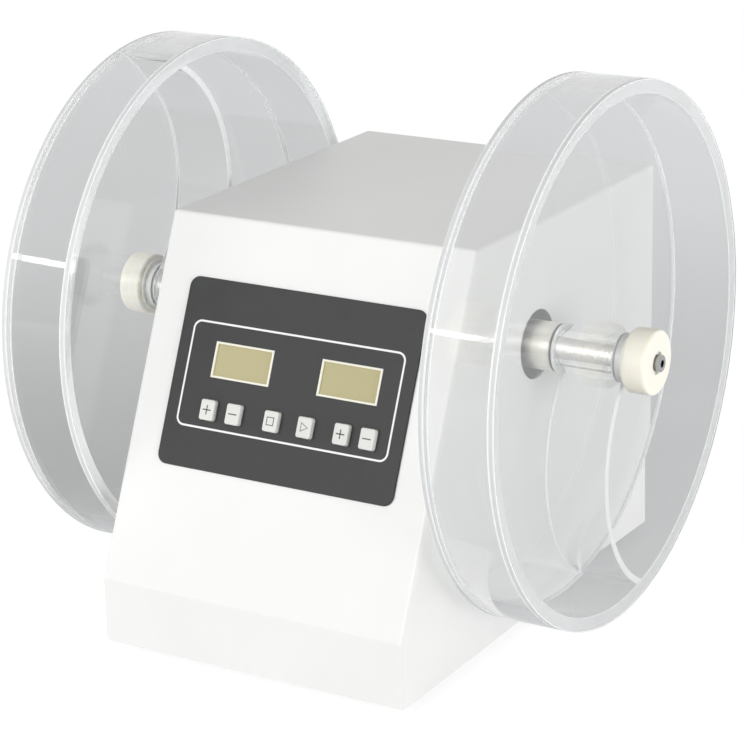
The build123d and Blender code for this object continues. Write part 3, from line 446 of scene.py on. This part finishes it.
# %% The turning tree: each point goes to its place
index = add_node(turning, "GeometryNodeInputIndex").outputs[0]
step_round = calc(turning, "FLOOR", calc(turning, "DIVIDE", calc(turning, "ADD", index, 0.5), rows))
row = calc(turning, "SUBTRACT", index, calc(turning, "MULTIPLY", step_round, rows))
point_on_profile = calc(turning, "MODULO", row, profile_count)
place = add_node(turning, "GeometryNodeInputPosition").outputs[0]
looked_up = add_node(
    turning,
    "GeometryNodeSampleIndex",
    {"Geometry": profile, "Value": place, "Index": point_on_profile},
    data_type="FLOAT_VECTOR",
)
there = add_node(turning, "ShaderNodeSeparateXYZ", {0: looked_up.outputs[0]}).outputs
full_turn = calc(turning, "DIVIDE", 2 * pi, turning_in.outputs["Steps round"])
angle = calc(turning, "MULTIPLY", step_round, full_turn)
sideways = calc(turning, "MULTIPLY", there["Z"], calc(turning, "SINE", angle))
upwards = calc(turning, "MULTIPLY", there["Z"], calc(turning, "COSINE", angle))
height = calc(turning, "ADD", upwards, turning_in.outputs["Axis height"])
turned_place = add_node(turning, "ShaderNodeCombineXYZ", {"X": there["X"], "Y": sideways, "Z": height})
wrapped = add_node(
    turning,
    "GeometryNodeSetPosition",
    {"Geometry": grid.outputs["Mesh"], "Position": turned_place.outputs[0]},
)
print("nodes up to the turned shape", len(turning.nodes))

# %% The turning tree: each stretch gets its finish
cut_mark = add_node(turning, "GeometryNodeInputNamedAttribute", {"Name": "cut"}, data_type="FLOAT")
cut_row = add_node(
    turning,
    "GeometryNodeSampleIndex",
    {
        "Geometry": profile,
        "Value": cut_mark.outputs[0],
        "Index": calc(turning, "MODULO", index, profile_count),
    },
    data_type="FLOAT",
)
marked = add_node(
    turning,
    "GeometryNodeStoreNamedAttribute",
    {"Geometry": wrapped.outputs[0], "Name": "cut_face", "Value": cut_row.outputs[0]},
    data_type="FLOAT",
    domain="FACE",
)
closed = add_node(
    turning, "GeometryNodeMergeByDistance", {"Geometry": marked.outputs[0], "Distance": merge_distance}
)
face_kind = add_node(turning, "GeometryNodeInputNamedAttribute", {"Name": "cut_face"}, data_type="FLOAT")
finished_piece = add_node(turning, "GeometryNodeRealizeInstances", {"Geometry": closed.outputs[0]})
for least, finish in ((-0.5, "Face finish"), (0.5, "End finish"), (1.5, "Corner finish")):
    chosen = add_node(
        turning, "FunctionNodeCompare", {0: face_kind.outputs[0], 1: least}, operation="GREATER_THAN"
    )
    finished_piece = add_node(
        turning,
        "GeometryNodeSetMaterial",
        {
            "Geometry": finished_piece.outputs[0],
            "Selection": chosen.outputs[0],
            "Material": turning_in.outputs[finish],
        },
    )
turning.links.new(finished_piece.outputs[0], turning_out.inputs["Piece"])
print("turning tree nodes", len(turning.nodes))

# %% [markdown]
# ## From a tree to a plain mesh
# A modifier's inputs are set by the identifier of each socket, because two sockets may share a name.
# The evaluated result is copied to a plain mesh, its doubles are merged and its faces are turned
# outwards. Then the normals are weighted by area. Without that a flat disc would take some of the
# tilt of its small rounded rim, and as glass it would bend the view like a lens.

# %% Helpers that run a tree
sharp_angle = radians(50)


def plain_copy(holder):
    """The evaluated result of an object's modifiers as a plain mesh with no empty material slots."""
    evaluated = holder.evaluated_get(bpy.context.evaluated_depsgraph_get())
    mesh = bpy.data.meshes.new_from_object(evaluated)
    slots = list(mesh.materials)
    used = [material for material in slots if material]
    places = [used.index(slots[face.material_index]) if used else 0 for face in mesh.polygons]
    mesh.materials.clear()
    for material in used:
        mesh.materials.append(material)
    mesh.polygons.foreach_set("material_index", places)
    return mesh


def settle(mesh, name):
    """Merges doubles, turns the faces outwards and weights the normals; returns the piece."""
    shape = bmesh.new()
    shape.from_mesh(mesh)
    bmesh.ops.remove_doubles(shape, verts=shape.verts, dist=merge_distance)
    bmesh.ops.recalc_face_normals(shape, faces=shape.faces)
    for face in shape.faces:
        face.smooth = True
    shape.to_mesh(mesh)
    shape.free()
    mesh.set_sharp_from_angle(angle=sharp_angle)
    piece = bpy.data.objects.new(name, mesh)
    bpy.context.scene.collection.objects.link(piece)
    weighting = piece.modifiers.new("weighting", "WEIGHTED_NORMAL")
    weighting.keep_sharp = True
    weighting.weight = 100
    piece.data = plain_copy(piece)
    piece.data.name = name
    piece.modifiers.remove(weighting)
    return piece


def run_tree(tree, start_mesh, values):
    """Runs a geometry tree on a mesh and returns the result as a plain mesh."""
    holder = bpy.data.objects.new("holder", start_mesh)
    bpy.context.scene.collection.objects.link(holder)
    modifier = holder.modifiers.new("tree", "NODES")
    modifier.node_group = tree
    names = {item.name: item.identifier for item in tree.interface.items_tree if item.in_out == "INPUT"}
    for label, value in values.items():
        modifier[names[label]] = value
    mesh = plain_copy(holder)
    bpy.data.objects.remove(holder)
    return mesh


print("sharp edges from", round(degrees(sharp_angle)), "degrees")


# %% Helpers that turn a profile
def round_corners(corners, steps, corner_kind):
    """Profile points from (x, radius, rounding, kind) corners; kind is for the stretch that follows."""
    points = []
    for i, (x, r, rounding, kind) in enumerate(corners):
        here = Vector((x, r))
        before = Vector(corners[i - 1][:2])
        after = Vector(corners[(i + 1) % len(corners)][:2])
        start = here + (before - here).normalized() * rounding
        end = here + (after - here).normalized() * rounding
        for k in range(steps + 1):
            t = k / steps
            spot = start * (1 - t) ** 2 + here * 2 * t * (1 - t) + end * t * t
            points.append((spot.x, spot.y, kind if k == steps else corner_kind))
    return points


def turn_piece(name, side, corners, finishes, rounding_steps=3, steps=256):
    """A turned piece on the spindle's axis; side is 1 for the right and -1 for the left."""
    points = round_corners(corners, rounding_steps, float(len(finishes) - 1))
    count = len(points)
    mesh = bpy.data.meshes.new(name)
    ring_of_edges = [(i, (i + 1) % count) for i in range(count)]
    mesh.from_pydata([(side * x, 0, r) for x, r, _ in points], ring_of_edges, [])
    mark = mesh.attributes.new("cut", "FLOAT", "POINT")
    mark.data.foreach_set("value", [kind for _, _, kind in points])
    values = {"Steps round": steps}
    for i, label in enumerate(("Face finish", "End finish", "Corner finish")):
        values[label] = finishes[min(i, len(finishes) - 1)]
    return settle(run_tree(turning, mesh, values), name)


print("turning helpers ready")

# %% [markdown]
# ## The drums
# Each drum is a back disc, a ring cut from tube and a hub sleeve, cemented together, with a loose cover
# disc. The discs' rims and the ring's ends are cut. A gap of a few hundredths of a millimetre is left
# at each joint, because two glass faces at the same place confuse a renderer.

# %% Discs, rings and hubs
sides = (("left", -1), ("right", 1))
acrylic_finishes = (acrylic, cut_end, corner)
ring_finishes = (acrylic, ring_end, corner)
drum_pieces = []
x_back, x_ring, x_ring_end = back_low.x, ring_low.x, ring_high.x
x_cover, x_boss = x_ring_end + disc_thickness, cover_high.x
ring_inner = drum_radius - ring_wall
between_discs = (x_ring + bond_gap, x_ring_end - bond_gap)


def plain_ring(start, end, inner, outer, kinds, inner_edge=disc_edge, outer_edge=disc_edge):
    """Four corners; kinds are those of the start face, the outside, the end face and the bore."""
    corners = ((start, inner, inner_edge), (start, outer, outer_edge))
    corners += ((end, outer, outer_edge), (end, inner, inner_edge))
    return [(*corner, kind) for corner, kind in zip(corners, kinds)]


drum_profiles = {
    "drum_back": plain_ring(x_back, x_ring, hub_bore, drum_radius, (0, 1, 0, 1)),
    "drum_ring": plain_ring(*between_discs, ring_inner, drum_radius, (1, 0, 1, 0)),
    "drum_hub": plain_ring(*between_discs, hub_bore, hub_radius, (1, 0, 1, 0)),
    "drum_cover": [
        (x_ring_end, hub_bore, disc_edge, 0),
        (x_ring_end, drum_radius, disc_edge, 1),
        (x_cover, drum_radius, disc_edge, 0),
        (x_cover, hub_radius, disc_edge / 2, 1),
        (x_boss, hub_radius, disc_edge, 1),
        (x_boss, hub_bore, disc_edge, 1),
    ],
}
for side_name, side in sides:
    for node, corners in drum_profiles.items():
        finishes = ring_finishes if node == "drum_ring" else acrylic_finishes
        piece = turn_piece(f"{side_name}_{node}_clear", side, corners, finishes)
        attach(piece, f"{side_name}_cover" if node == "drum_cover" else "spindle_drums")
        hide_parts(f"{side_name}_{node}")
        drum_pieces.append(piece)
print("drum pieces", len(drum_pieces), "faces each", [len(p.data.polygons) for p in drum_pieces[:4]])

# %% [markdown]
# ## The baffles
# The baffle lifts the tablets and lets them fall. It is a strip of the same acrylic, bent to an arc of a
# standard radius, cemented to the hub at one end and to the ring at the other. Its outline is two arcs
# about one centre, each running from where it meets the hub to where it meets the ring. The law of
# cosines gives those two angles. The left drum's baffle is the same piece turned half round. Its long
# edges are sanded, so they show white along their whole length, and its cemented ends are frosted.

# %% Bent strips from hub to ring
baffle_steps = 72
baffle_edge = 0.0005
cement_reach = 0.0004
rim_angle = radians(60)
sanded_tilt = 0.2


def arc_angle(radius, reach, apart):
    """Angle at the arc's centre between the spindle and the point that lies reach from the spindle."""
    return acos(max(-1.0, min(1.0, (apart**2 + radius**2 - reach**2) / (2 * apart * radius))))


def bent_strip(name, side):
    """The baffle of one drum as a closed strip with bevelled edges and a finish for each face."""
    centre_y, centre_z = side * baffle_centre[0], side * baffle_centre[1]
    apart = hypot(centre_y, centre_z)
    towards_spindle = atan2(-centre_z, -centre_y)
    outline = []
    for radius, order in ((baffle_inner_radius, 1), (baffle_inner_radius + baffle_thickness, -1)):
        first = arc_angle(radius, hub_radius + bond_gap, apart)
        last = arc_angle(radius, ring_inner - bond_gap, apart)
        for k in range(baffle_steps + 1)[::order]:
            turn = towards_spindle + first + (last - first) * k / baffle_steps
            outline.append((centre_y + radius * cos(turn), shaft_height + centre_z + radius * sin(turn)))
    shape = bmesh.new()
    near_x, far_x = side * between_discs[0], side * baffle_high.x
    ends = [[shape.verts.new((x, y, z)) for y, z in outline] for x in (near_x, far_x)]
    half = baffle_steps + 1
    for k in range(len(outline)):
        after = (k + 1) % len(outline)
        shape.faces.new((ends[0][k], ends[0][after], ends[1][after], ends[1][k]))
    for end in ends:
        for k in range(baffle_steps):
            other = 2 * half - 1 - k
            shape.faces.new((end[k], end[k + 1], end[other - 1], end[other]))
    bmesh.ops.recalc_face_normals(shape, faces=shape.faces)
    rims = [edge for edge in shape.edges if edge.calc_face_angle(0) > rim_angle]
    bmesh.ops.bevel(shape, geom=rims, offset=baffle_edge, segments=2, profile=0.5, affect="EDGES")
    mesh = bpy.data.meshes.new(name)
    shape.to_mesh(mesh)
    shape.free()
    for finish in acrylic_finishes:
        mesh.materials.append(finish)
    for face in mesh.polygons:
        tilt = abs(face.normal.x)
        reach = hypot(face.center.y, face.center.z - shaft_height)
        cemented = not hub_radius + cement_reach < reach < ring_inner - cement_reach
        face.material_index = 2 if tilt > sanded_tilt else int(cemented)
    return settle(mesh, name)


for side_name, side in sides:
    strip = bent_strip(f"{side_name}_drum_baffle_clear", side)
    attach(strip, "spindle_drums")
    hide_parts(f"{side_name}_drum_baffle")
    print(strip.name, "faces", len(strip.data.polygons))

# %% [markdown]
# ## Hand nuts and washers
# The knob that clamps each cover is turned from ivory nylon with well rounded edges, and it bears on a
# thin washer of the same nylon, so that neither scratches the acrylic. Both come from the turning
# tree. Their bores keep the room that the spindle needs to turn in them.

# %% Nuts and washers
bore_edge = 0.0006
washer_edge = 0.0003
all_faces = (0, 0, 0, 0)
nut_profile = plain_ring(nut_low.x, nut_high.x, nut_bore, nut_radius, all_faces, bore_edge, nut_edge)
washer_profile = plain_ring(
    washer_low.x, washer_high.x, hub_bore, washer_radius, all_faces, washer_edge, washer_edge
)
for side_name, side in sides:
    nut = turn_piece(
        f"{side_name}_hand_nut_turned", side, nut_profile, (nylon,), rounding_steps=8, steps=160
    )
    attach(nut, f"{side_name}_nut")
    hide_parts(f"{side_name}_hand_nut")
    washer = turn_piece(f"{side_name}_nut_washer_turned", side, washer_profile, (nylon,), steps=128)
    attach(washer, f"{side_name}_washer")
    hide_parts(f"{side_name}_nut_washer")
    print(nut.name, washer.name)

# %% [markdown]
# ## Printed lines
# The label carries a white outline round its controls, and the keys and the switch carry plain signs.
# Ink is a thin flat ribbon that follows a path. A second tree makes it: the path's edges become a
# curve, and a flat rectangle is swept along it. Each drawing is made flat, then laid on its face.

# %% The printing tree
ink_thickness = 0.00004
printing, printing_in, printing_out = new_group(
    "printed_line",
    "GeometryNodeTree",
    [
        ("Path", GEOMETRY, None),
        ("Line width", FLOAT, 0.001),
        ("Ink thickness", FLOAT, ink_thickness),
        ("Ink", MATERIAL, None),
    ],
    [("Print", GEOMETRY)],
)
curve = add_node(printing, "GeometryNodeMeshToCurve", {0: printing_in.outputs["Path"]})
flat = add_node(printing, "GeometryNodeSetCurveNormal", {0: curve.outputs[0]}, mode="Z_UP")
ribbon = add_node(printing, "GeometryNodeCurvePrimitiveQuadrilateral")
printing.links.new(printing_in.outputs["Line width"], ribbon.inputs["Width"])
printing.links.new(printing_in.outputs["Ink thickness"], ribbon.inputs["Height"])
swept = add_node(
    printing, "GeometryNodeCurveToMesh", {0: flat.outputs[0], 1: ribbon.outputs[0], "Fill Caps": True}
)
laid = add_node(printing, "GeometryNodeRealizeInstances", {"Geometry": swept.outputs[0]})
inked = add_node(
    printing,
    "GeometryNodeSetMaterial",
    {"Geometry": laid.outputs[0], "Material": printing_in.outputs["Ink"]},
)
printing.links.new(inked.outputs[0], printing_out.inputs["Print"])
print("printing tree nodes", len(printing.nodes))


# %% Helpers that draw on a face
def face_frame(middle, up, out):
    """Lays a flat drawing on a face: x to the right, y up the face, z out of it."""
    turn = Matrix((up.cross(out), up, out)).transposed()
    return Matrix.Translation(middle) @ turn.to_4x4()


def draw(name, body, paths, frame_on_face, width, ink):
    """Prints closed or open paths of flat points on a face, as one piece that rides on a body."""
    points, lines = [], []
    for path, closed in paths:
        first = len(points)
        points += [(x, y, 0.0) for x, y in path]
        count = len(path)
        lines += [(first + i, first + (i + 1) % count) for i in range(count if closed else count - 1)]
    mesh = bpy.data.meshes.new(name)
    mesh.from_pydata(points, lines, [])
    values = {"Line width": width, "Ink thickness": ink_thickness, "Ink": ink}
    printed = run_tree(printing, mesh, values)
    printed.transform(frame_on_face @ Matrix.Translation((0, 0, ink_thickness / 2)))
    piece = settle(printed, name)
    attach(piece, body)


def rounded_box(width, height, radius, steps=10):
    """A closed path round a box with round corners, about the middle."""
    path = []
    for corner, (sx, sy) in enumerate(((1, 1), (-1, 1), (-1, -1), (1, -1))):
        for k in range(steps + 1):
            turn = pi / 2 * (corner + k / steps)
            x = sx * (width / 2 - radius) + radius * cos(turn)
            path.append((x, sy * (height / 2 - radius) + radius * sin(turn)))
    return path


slope_sheet = face_frame(label_middle, slope, slope_out)
print("drawing frame ready")

# %% [markdown]
# ## The label's outline and the signs on the keys
# The outline frames the two displays and the six keys. Two pairs of keys set the time and the number of
# turns, so they carry a plus and a minus. The two in the middle stop and start the drums, and carry
# the square and the triangle that every recorder has.

# %% Outline, plus, minus, square and triangle
outline_width, outline_height, outline_corner = 0.1335, 0.058, 0.0045
outline_shift = Vector((0, -0.0005, 0))
outline_line, sign_line = 0.0011, 0.0007
draw(
    "label_outline",
    "housing",
    [(rounded_box(outline_width, outline_height, outline_corner), True)],
    slope_sheet @ Matrix.Translation(outline_shift),
    outline_line,
    finish_of["print_white"],
)

arm, half = 0.0026, 0.0021
back, tip, wing = -0.0018, 0.0024, 0.0023
level_stroke, upright_stroke = [(-arm, 0), (arm, 0)], [(0, -arm), (0, arm)]
plus = [(level_stroke, False), (upright_stroke, False)]
minus = [(level_stroke, False)]
square = [([(-half, -half), (half, -half), (half, half), (-half, half)], True)]
triangle = [([(back, -wing), (tip, 0), (back, wing)], True)]
key_signs = {
    "key_time_up": plus,
    "key_time_down": minus,
    "key_reset": square,
    "key_start": triangle,
    "key_count_up": plus,
    "key_count_down": minus,
}
to_flat = slope_sheet.inverted()
for node, sign in key_signs.items():
    corners = [to_flat @ vertex.co for vertex in nodes[node].data.vertices]
    top = max(corner.z for corner in corners)
    middle = sum(corners, Vector()) / len(corners)
    face = slope_sheet @ Matrix.Translation((middle.x, middle.y, top))
    draw(f"{node}_sign", nodes[node]["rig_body"], sign, face, sign_line, finish_of["print_dark"])
    print(node, "top", round(top * 1000, 2), "mm above the label")

# %% [markdown]
# ## Marks on the power switch
# The rocker at the back has two faces that lean against each other. Each face's middle and direction
# are read from its mesh, so the marks lie flat on them whichever way the rocker rests.

# %% A stroke for on and a ring for off
same_way = 0.995


def flat_area(node, wanted):
    """The middle and direction of the flat area of a node that faces the wanted way."""
    total, middle, direction = 0.0, Vector(), Vector()
    for face in nodes[node].data.polygons:
        if face.normal.dot(wanted) > same_way:
            total += face.area
            middle += face.center * face.area
            direction += face.normal * face.area
    return middle / total, direction.normalized()


mark_radius, mark_steps, mark_line = 0.0012, 40, 0.0004
turns = [2 * pi * k / mark_steps for k in range(mark_steps)]
ring_sign = [(mark_radius * cos(turn), mark_radius * sin(turn)) for turn in turns]
stroke_sign = [(0, -0.0013), (0, 0.0013)]
lean = radians(16)
rocker_faces = {
    "on": (Vector((0, 1, 0)), [(stroke_sign, False)]),
    "off": (Vector((0, cos(lean), sin(lean))), [(ring_sign, True)]),
}
for name, (wanted, sign) in rocker_faces.items():
    middle, out = flat_area("power_rocker", wanted)
    up = out.cross(Vector((-1, 0, 0)))
    place = face_frame(middle, up, out)
    draw(f"rocker_{name}_mark", "rocker", sign, place, mark_line, finish_of["print_white"])
    print(name, "mark at", tuple(round(v, 4) for v in middle), "facing", tuple(round(v, 2) for v in out))

# %% [markdown]
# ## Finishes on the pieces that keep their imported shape
# Every other piece has the right shape already and only needs its finish. Names decide, with one line
# for each finish. The next steps add a second or third finish where one mesh shows several.

# %% One finish for each kept piece
kept_finishes = {
    "casing_powder_coat": ["housing_shell", "base_plate", "rear_panel"],
    "zinc_plate": ["transformer", "drum_gear", "motor_pinion"],
    "blackened_steel": ["left_bearing_plate", "right_bearing_plate"],
    "screw_nickel": ["base_screws", "rear_panel_screws", "motor_screws", "set_screws"],
    "soft_rubber": [f"foot_{end}_{side}" for end in ("front", "rear") for side in ("left", "right")],
    "label_film": ["control_label"],
    "bezel_plastic": ["left_display_bezel", "right_display_bezel"],
    "display_glass": ["left_display", "right_display"],
    "key_plastic": list(key_signs),
    "black_moulding": ["switch_housing", "power_rocker", "mains_inlet", "key_switches", "turn_sensor"],
    "board_green": ["control_board", "supply_board"],
    "pin_brass": ["board_standoffs", "supply_standoffs"],
    "oiled_bronze": ["left_bearing_bush", "right_bearing_bush"],
    "lathed_steel": ["spindle", "motor_shaft"],
    "satin_steel": ["left_spindle_collar", "right_spindle_collar"],
    "motor_grey": ["motor_can", "motor_gearbox"],
    "disc_aluminium": ["index_disc"],
}
finished = set()
for finish, names in kept_finishes.items():
    for name in names:
        mesh = nodes[name].data
        mesh.materials.clear()
        mesh.materials.append(finish_of[finish])
        finished.add(name)
replaced = {name for name in nodes if nodes[name].hide_render}
print("finished", len(finished), "replaced", len(replaced), "left", set(nodes) - finished - replaced)

# %% [markdown]
# ## Inside of the housing
# The inner faces get a dark tone as painted shade, standing for the little light that reaches inside the
# closed housing. It is what shows round the spindle through the side openings. A face belongs to the inside
# when it looks towards the middle of the housing from more than a centimetre away.

# %% Painted shade on the inner faces
inner_reach = 0.012
housing_low, housing_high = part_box("housing_shell")
housing_middle = (housing_low + housing_high) / 2
for name in ("housing_shell", "base_plate", "rear_panel"):
    mesh = nodes[name].data
    mesh.materials.append(finish_of["painted_inner_shade"])
    inner_faces = 0
    for face in mesh.polygons:
        if (face.center - housing_middle).dot(face.normal) < -inner_reach:
            face.material_index = 1
            inner_faces += 1
    print(name, "inner faces", inner_faces, "of", len(mesh.polygons))

# %% [markdown]
# ## Thread and nose of the spindle
# The thread is rougher than the turned bar, and its near-white tone is a painted highlight that makes it
# look as bright as a lit thread. The nose's dark tone is a painted dark reflection. Both lie on the same
# mesh, so each face gets its finish from how far out it is.

# %% Thread with a painted highlight, nose with a painted dark reflection
nose_start = nut_high.x - 0.0005
spindle_mesh = nodes["spindle"].data
for finish in ("thread_steel_painted_bright", "nose_steel_painted_dark"):
    spindle_mesh.materials.append(finish_of[finish])
for face in spindle_mesh.polygons:
    out_along = abs(face.center.x)
    face.material_index = 2 if out_along > nose_start else int(out_along > x_back)
with_finish = [sum(face.material_index == k for face in spindle_mesh.polygons) for k in range(3)]
print("spindle faces by finish", with_finish)

# %% [markdown]
# ## Blades of the mains inlet
# The inlet is one moulding with three metal blades in its hollow, two at the sides and one in the
# middle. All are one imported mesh, so the faces that stand where a blade is get brass.

# %% Brass blades in the inlet
blade_spacing = 0.007
blade_height = 0.002
blade_reach_x, blade_reach_z = 0.00105, 0.00205
hollow_floor, hollow_mouth = 0.0151, 0.0015
inlet_low, inlet_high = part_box("mains_inlet")
inlet_mesh = nodes["mains_inlet"].data
inlet_mesh.materials.append(finish_of["pin_brass"])
blade_middle_x, blade_middle_z = (inlet_low.x + inlet_high.x) / 2, (inlet_low.z + inlet_high.z) / 2
blades = 0
for face in inlet_mesh.polygons:
    off_x, off_z = abs(face.center.x - blade_middle_x), face.center.z - blade_middle_z
    side_blade = abs(off_x - blade_spacing) < blade_reach_x and abs(off_z + blade_height) < blade_reach_z
    middle_blade = off_x < blade_reach_x and abs(off_z - blade_height) < blade_reach_z
    in_hollow = hollow_mouth < inlet_high.y - face.center.y < hollow_floor
    if (side_blade or middle_blade) and in_hollow:
        face.material_index = 1
        blades += 1
print("blade faces", blades)

# %% [markdown]
# ## Floor, sky and lamps
# The picture shows the tester on pure white, with the cool grey of the real backdrop only where the
# drums are looked through. So the floor and the sky are white to the camera, and that grey to rays
# that pass through acrylic or are reflected. A part of the floor's colour is still lit paint, which
# keeps the soft shadow. Light that has bounced twice inside the acrylic counts as reflected, so the
# edges of the sheets and the hubs come out brighter than their faces, as they do on a real drum.
# Two large lamps light the object and don't show in the acrylic. Two narrow strips do the opposite:
# they only show in shiny and clear faces, as the long highlights.

# %% What kind of ray looks at the backdrop
guided_bounces = 2


def reflected_rays(tree, path):
    """The share of a ray that was mirrored or guided inside a sheet, then the guided share alone."""
    through = path["Is Transmission Ray"]
    mirrored = calc(tree, "SUBTRACT", calc(tree, "MAXIMUM", path["Is Glossy Ray"], through), through)
    bounced = calc(tree, "GREATER_THAN", path["Glossy Depth"], guided_bounces - 0.5)
    guided = calc(tree, "MULTIPLY", through, bounced)
    return calc(tree, "ADD", mirrored, guided), guided


print("light counts as guided after", guided_bounces, "bounces in the acrylic")

# %% Paint of the floor
shadow_share = 0.3
white_level = 1.24
room_glow = 0.55
near_tone, far_tone, far_away = 0.54, 0.69, 1.3
cool_tint = (0.98, 1.0, 1.015, 1)
# x, y, reach and darkness of each painted shadow, a round dark spot in the floor's grey tone
painted_floor_shades = ((-0.29, 0.0, 0.59, 0.3), (-0.05, 0.55, 0.42, 0.15))

floor_paint = bpy.data.materials.new("floor_paint")
floor_tree = empty_tree(floor_paint)
path = add_node(floor_tree, "ShaderNodeLightPath").outputs
lit = add_node(floor_tree, "ShaderNodeBsdfDiffuse", {"Color": (0.8, 0.8, 0.8, 1)}).outputs[0]
floor_place = object_place(floor_tree)
along = add_node(floor_tree, "ShaderNodeSeparateXYZ", {0: floor_place}).outputs["Y"]
tones = {"Value": along, "From Min": 0.0, "From Max": far_away, "To Min": near_tone, "To Max": far_tone}
tone = add_node(floor_tree, "ShaderNodeMapRange", tones).outputs[0]
# painted shadows: each one darkens the grey tone round its centre
for x, y, reach, depth in painted_floor_shades:
    centred = {"Vector": floor_place, "Location": (-x / reach, -y / reach, 0), "Scale": (1 / reach,) * 3}
    shade_place = add_node(floor_tree, "ShaderNodeMapping", centred).outputs[0]
    shade = add_node(floor_tree, "ShaderNodeTexGradient", {0: shade_place}, gradient_type="SPHERICAL")
    tone = calc(floor_tree, "SUBTRACT", tone, calc(floor_tree, "MULTIPLY", shade.outputs["Fac"], depth))
mirrored, _ = reflected_rays(floor_tree, path)
tone = calc(floor_tree, "ADD", tone, calc(floor_tree, "MULTIPLY", mirrored, room_glow))
cool = add_node(floor_tree, "ShaderNodeMix", {0: 1.0}, data_type="RGBA", blend_type="MULTIPLY")
cool.inputs["A"].default_value = cool_tint
floor_tree.links.new(tone, cool.inputs["B"])

camera_ray = path["Is Camera Ray"]
grey = add_node(floor_tree, "ShaderNodeEmission", {"Color": cool.outputs["Result"]}).outputs[0]
white = add_node(floor_tree, "ShaderNodeEmission", {"Strength": white_level}).outputs[0]
shown = add_node(floor_tree, "ShaderNodeMixShader", {0: camera_ray, 1: grey, 2: white}).outputs[0]
shadowed = add_node(floor_tree, "ShaderNodeMixShader", {0: shadow_share, 1: shown, 2: lit}).outputs[0]
seen = calc(floor_tree, "MAXIMUM", camera_ray, path["Is Glossy Ray"])
seen = calc(floor_tree, "MAXIMUM", seen, path["Is Transmission Ray"])
floor_mix = add_node(floor_tree, "ShaderNodeMixShader", {0: seen, 1: lit, 2: shadowed})
add_node(floor_tree, "ShaderNodeOutputMaterial", {"Surface": floor_mix.outputs[0]})
print("floor paint nodes", len(floor_tree.nodes))

# %% Floor
floor_reach = 14.0
floor_mesh = bpy.data.meshes.new("floor")
corners = [(x * floor_reach, y * floor_reach, 0) for x, y in ((-1, -1), (1, -1), (1, 1), (-1, 1))]
floor_mesh.from_pydata(corners, [], [(0, 1, 2, 3)])
floor_mesh.materials.append(floor_paint)
floor = bpy.data.objects.new("floor", floor_mesh)
bpy.context.scene.collection.objects.link(floor)
print("floor reaches", floor_reach, "m each way")

# %% Sky
sky_light = 0.5
sky_through = 0.58
sky_mirrored = 0.95
world = bpy.data.worlds.new("studio")
bpy.context.scene.world = world
sky = empty_tree(world)
path = add_node(sky, "ShaderNodeLightPath").outputs
mirrored, guided = reflected_rays(sky, path)
through = calc(sky, "SUBTRACT", path["Is Transmission Ray"], guided)
level = sky_light
for ray, shown_level in ((path["Is Camera Ray"], 1.0), (through, sky_through), (mirrored, sky_mirrored)):
    level = calc(sky, "ADD", level, calc(sky, "MULTIPLY", ray, shown_level - sky_light))
background = add_node(sky, "ShaderNodeBackground", {"Color": (1, 1, 1, 1), "Strength": level})
add_node(sky, "ShaderNodeOutputWorld", {"Surface": background.outputs[0]})
print("sky lights at", sky_light)

# %% Lamps
def lamp(name, towards, distance, width, height, power):
    """A soft lamp that looks at the object; sizes are in metres and its power in watts."""
    light = bpy.data.lights.new(name, "AREA")
    light.shape = "RECTANGLE"
    light.size, light.size_y = width, height
    light.energy = power
    holder = bpy.data.objects.new(name, light)
    middle = Vector((0, 0, shaft_height))
    direction = Vector(towards).normalized()
    holder.location = middle + direction * distance
    holder.rotation_euler = direction.to_track_quat("Z", "Y").to_euler()
    bpy.context.scene.collection.objects.link(holder)
    print(name, tuple(round(v, 2) for v in holder.location), power, "W")
    return holder


key_side = (-0.6, -0.74, 0.3)
key = lamp("key_lamp", key_side, distance=2.6, width=0.9, height=0.9, power=41)
fill = lamp("right_lamp", (0.97, -0.22, 0.1), distance=3.0, width=1.6, height=1.0, power=53)
for soft in (key, fill):
    soft.visible_glossy = soft.visible_transmission = False
left_strip = lamp("left_strip", key_side, distance=2.5, width=1.3, height=0.09, power=2.2)
front_strip = lamp("front_strip", (0.1, -0.93, 0.35), distance=2.3, width=1.2, height=0.12, power=20)
for strip_lamp in (left_strip, front_strip):
    strip_lamp.visible_diffuse = False

# %% [markdown]
# ## Bounces
# A line of sight through a drum crosses many polished faces, and a renderer that gives up on the way
# shows black there. So light may bounce more often than usual.

# %% Bounces
bounces = 24
cycles = bpy.context.scene.cycles
cycles.max_bounces = cycles.transmission_bounces = bounces
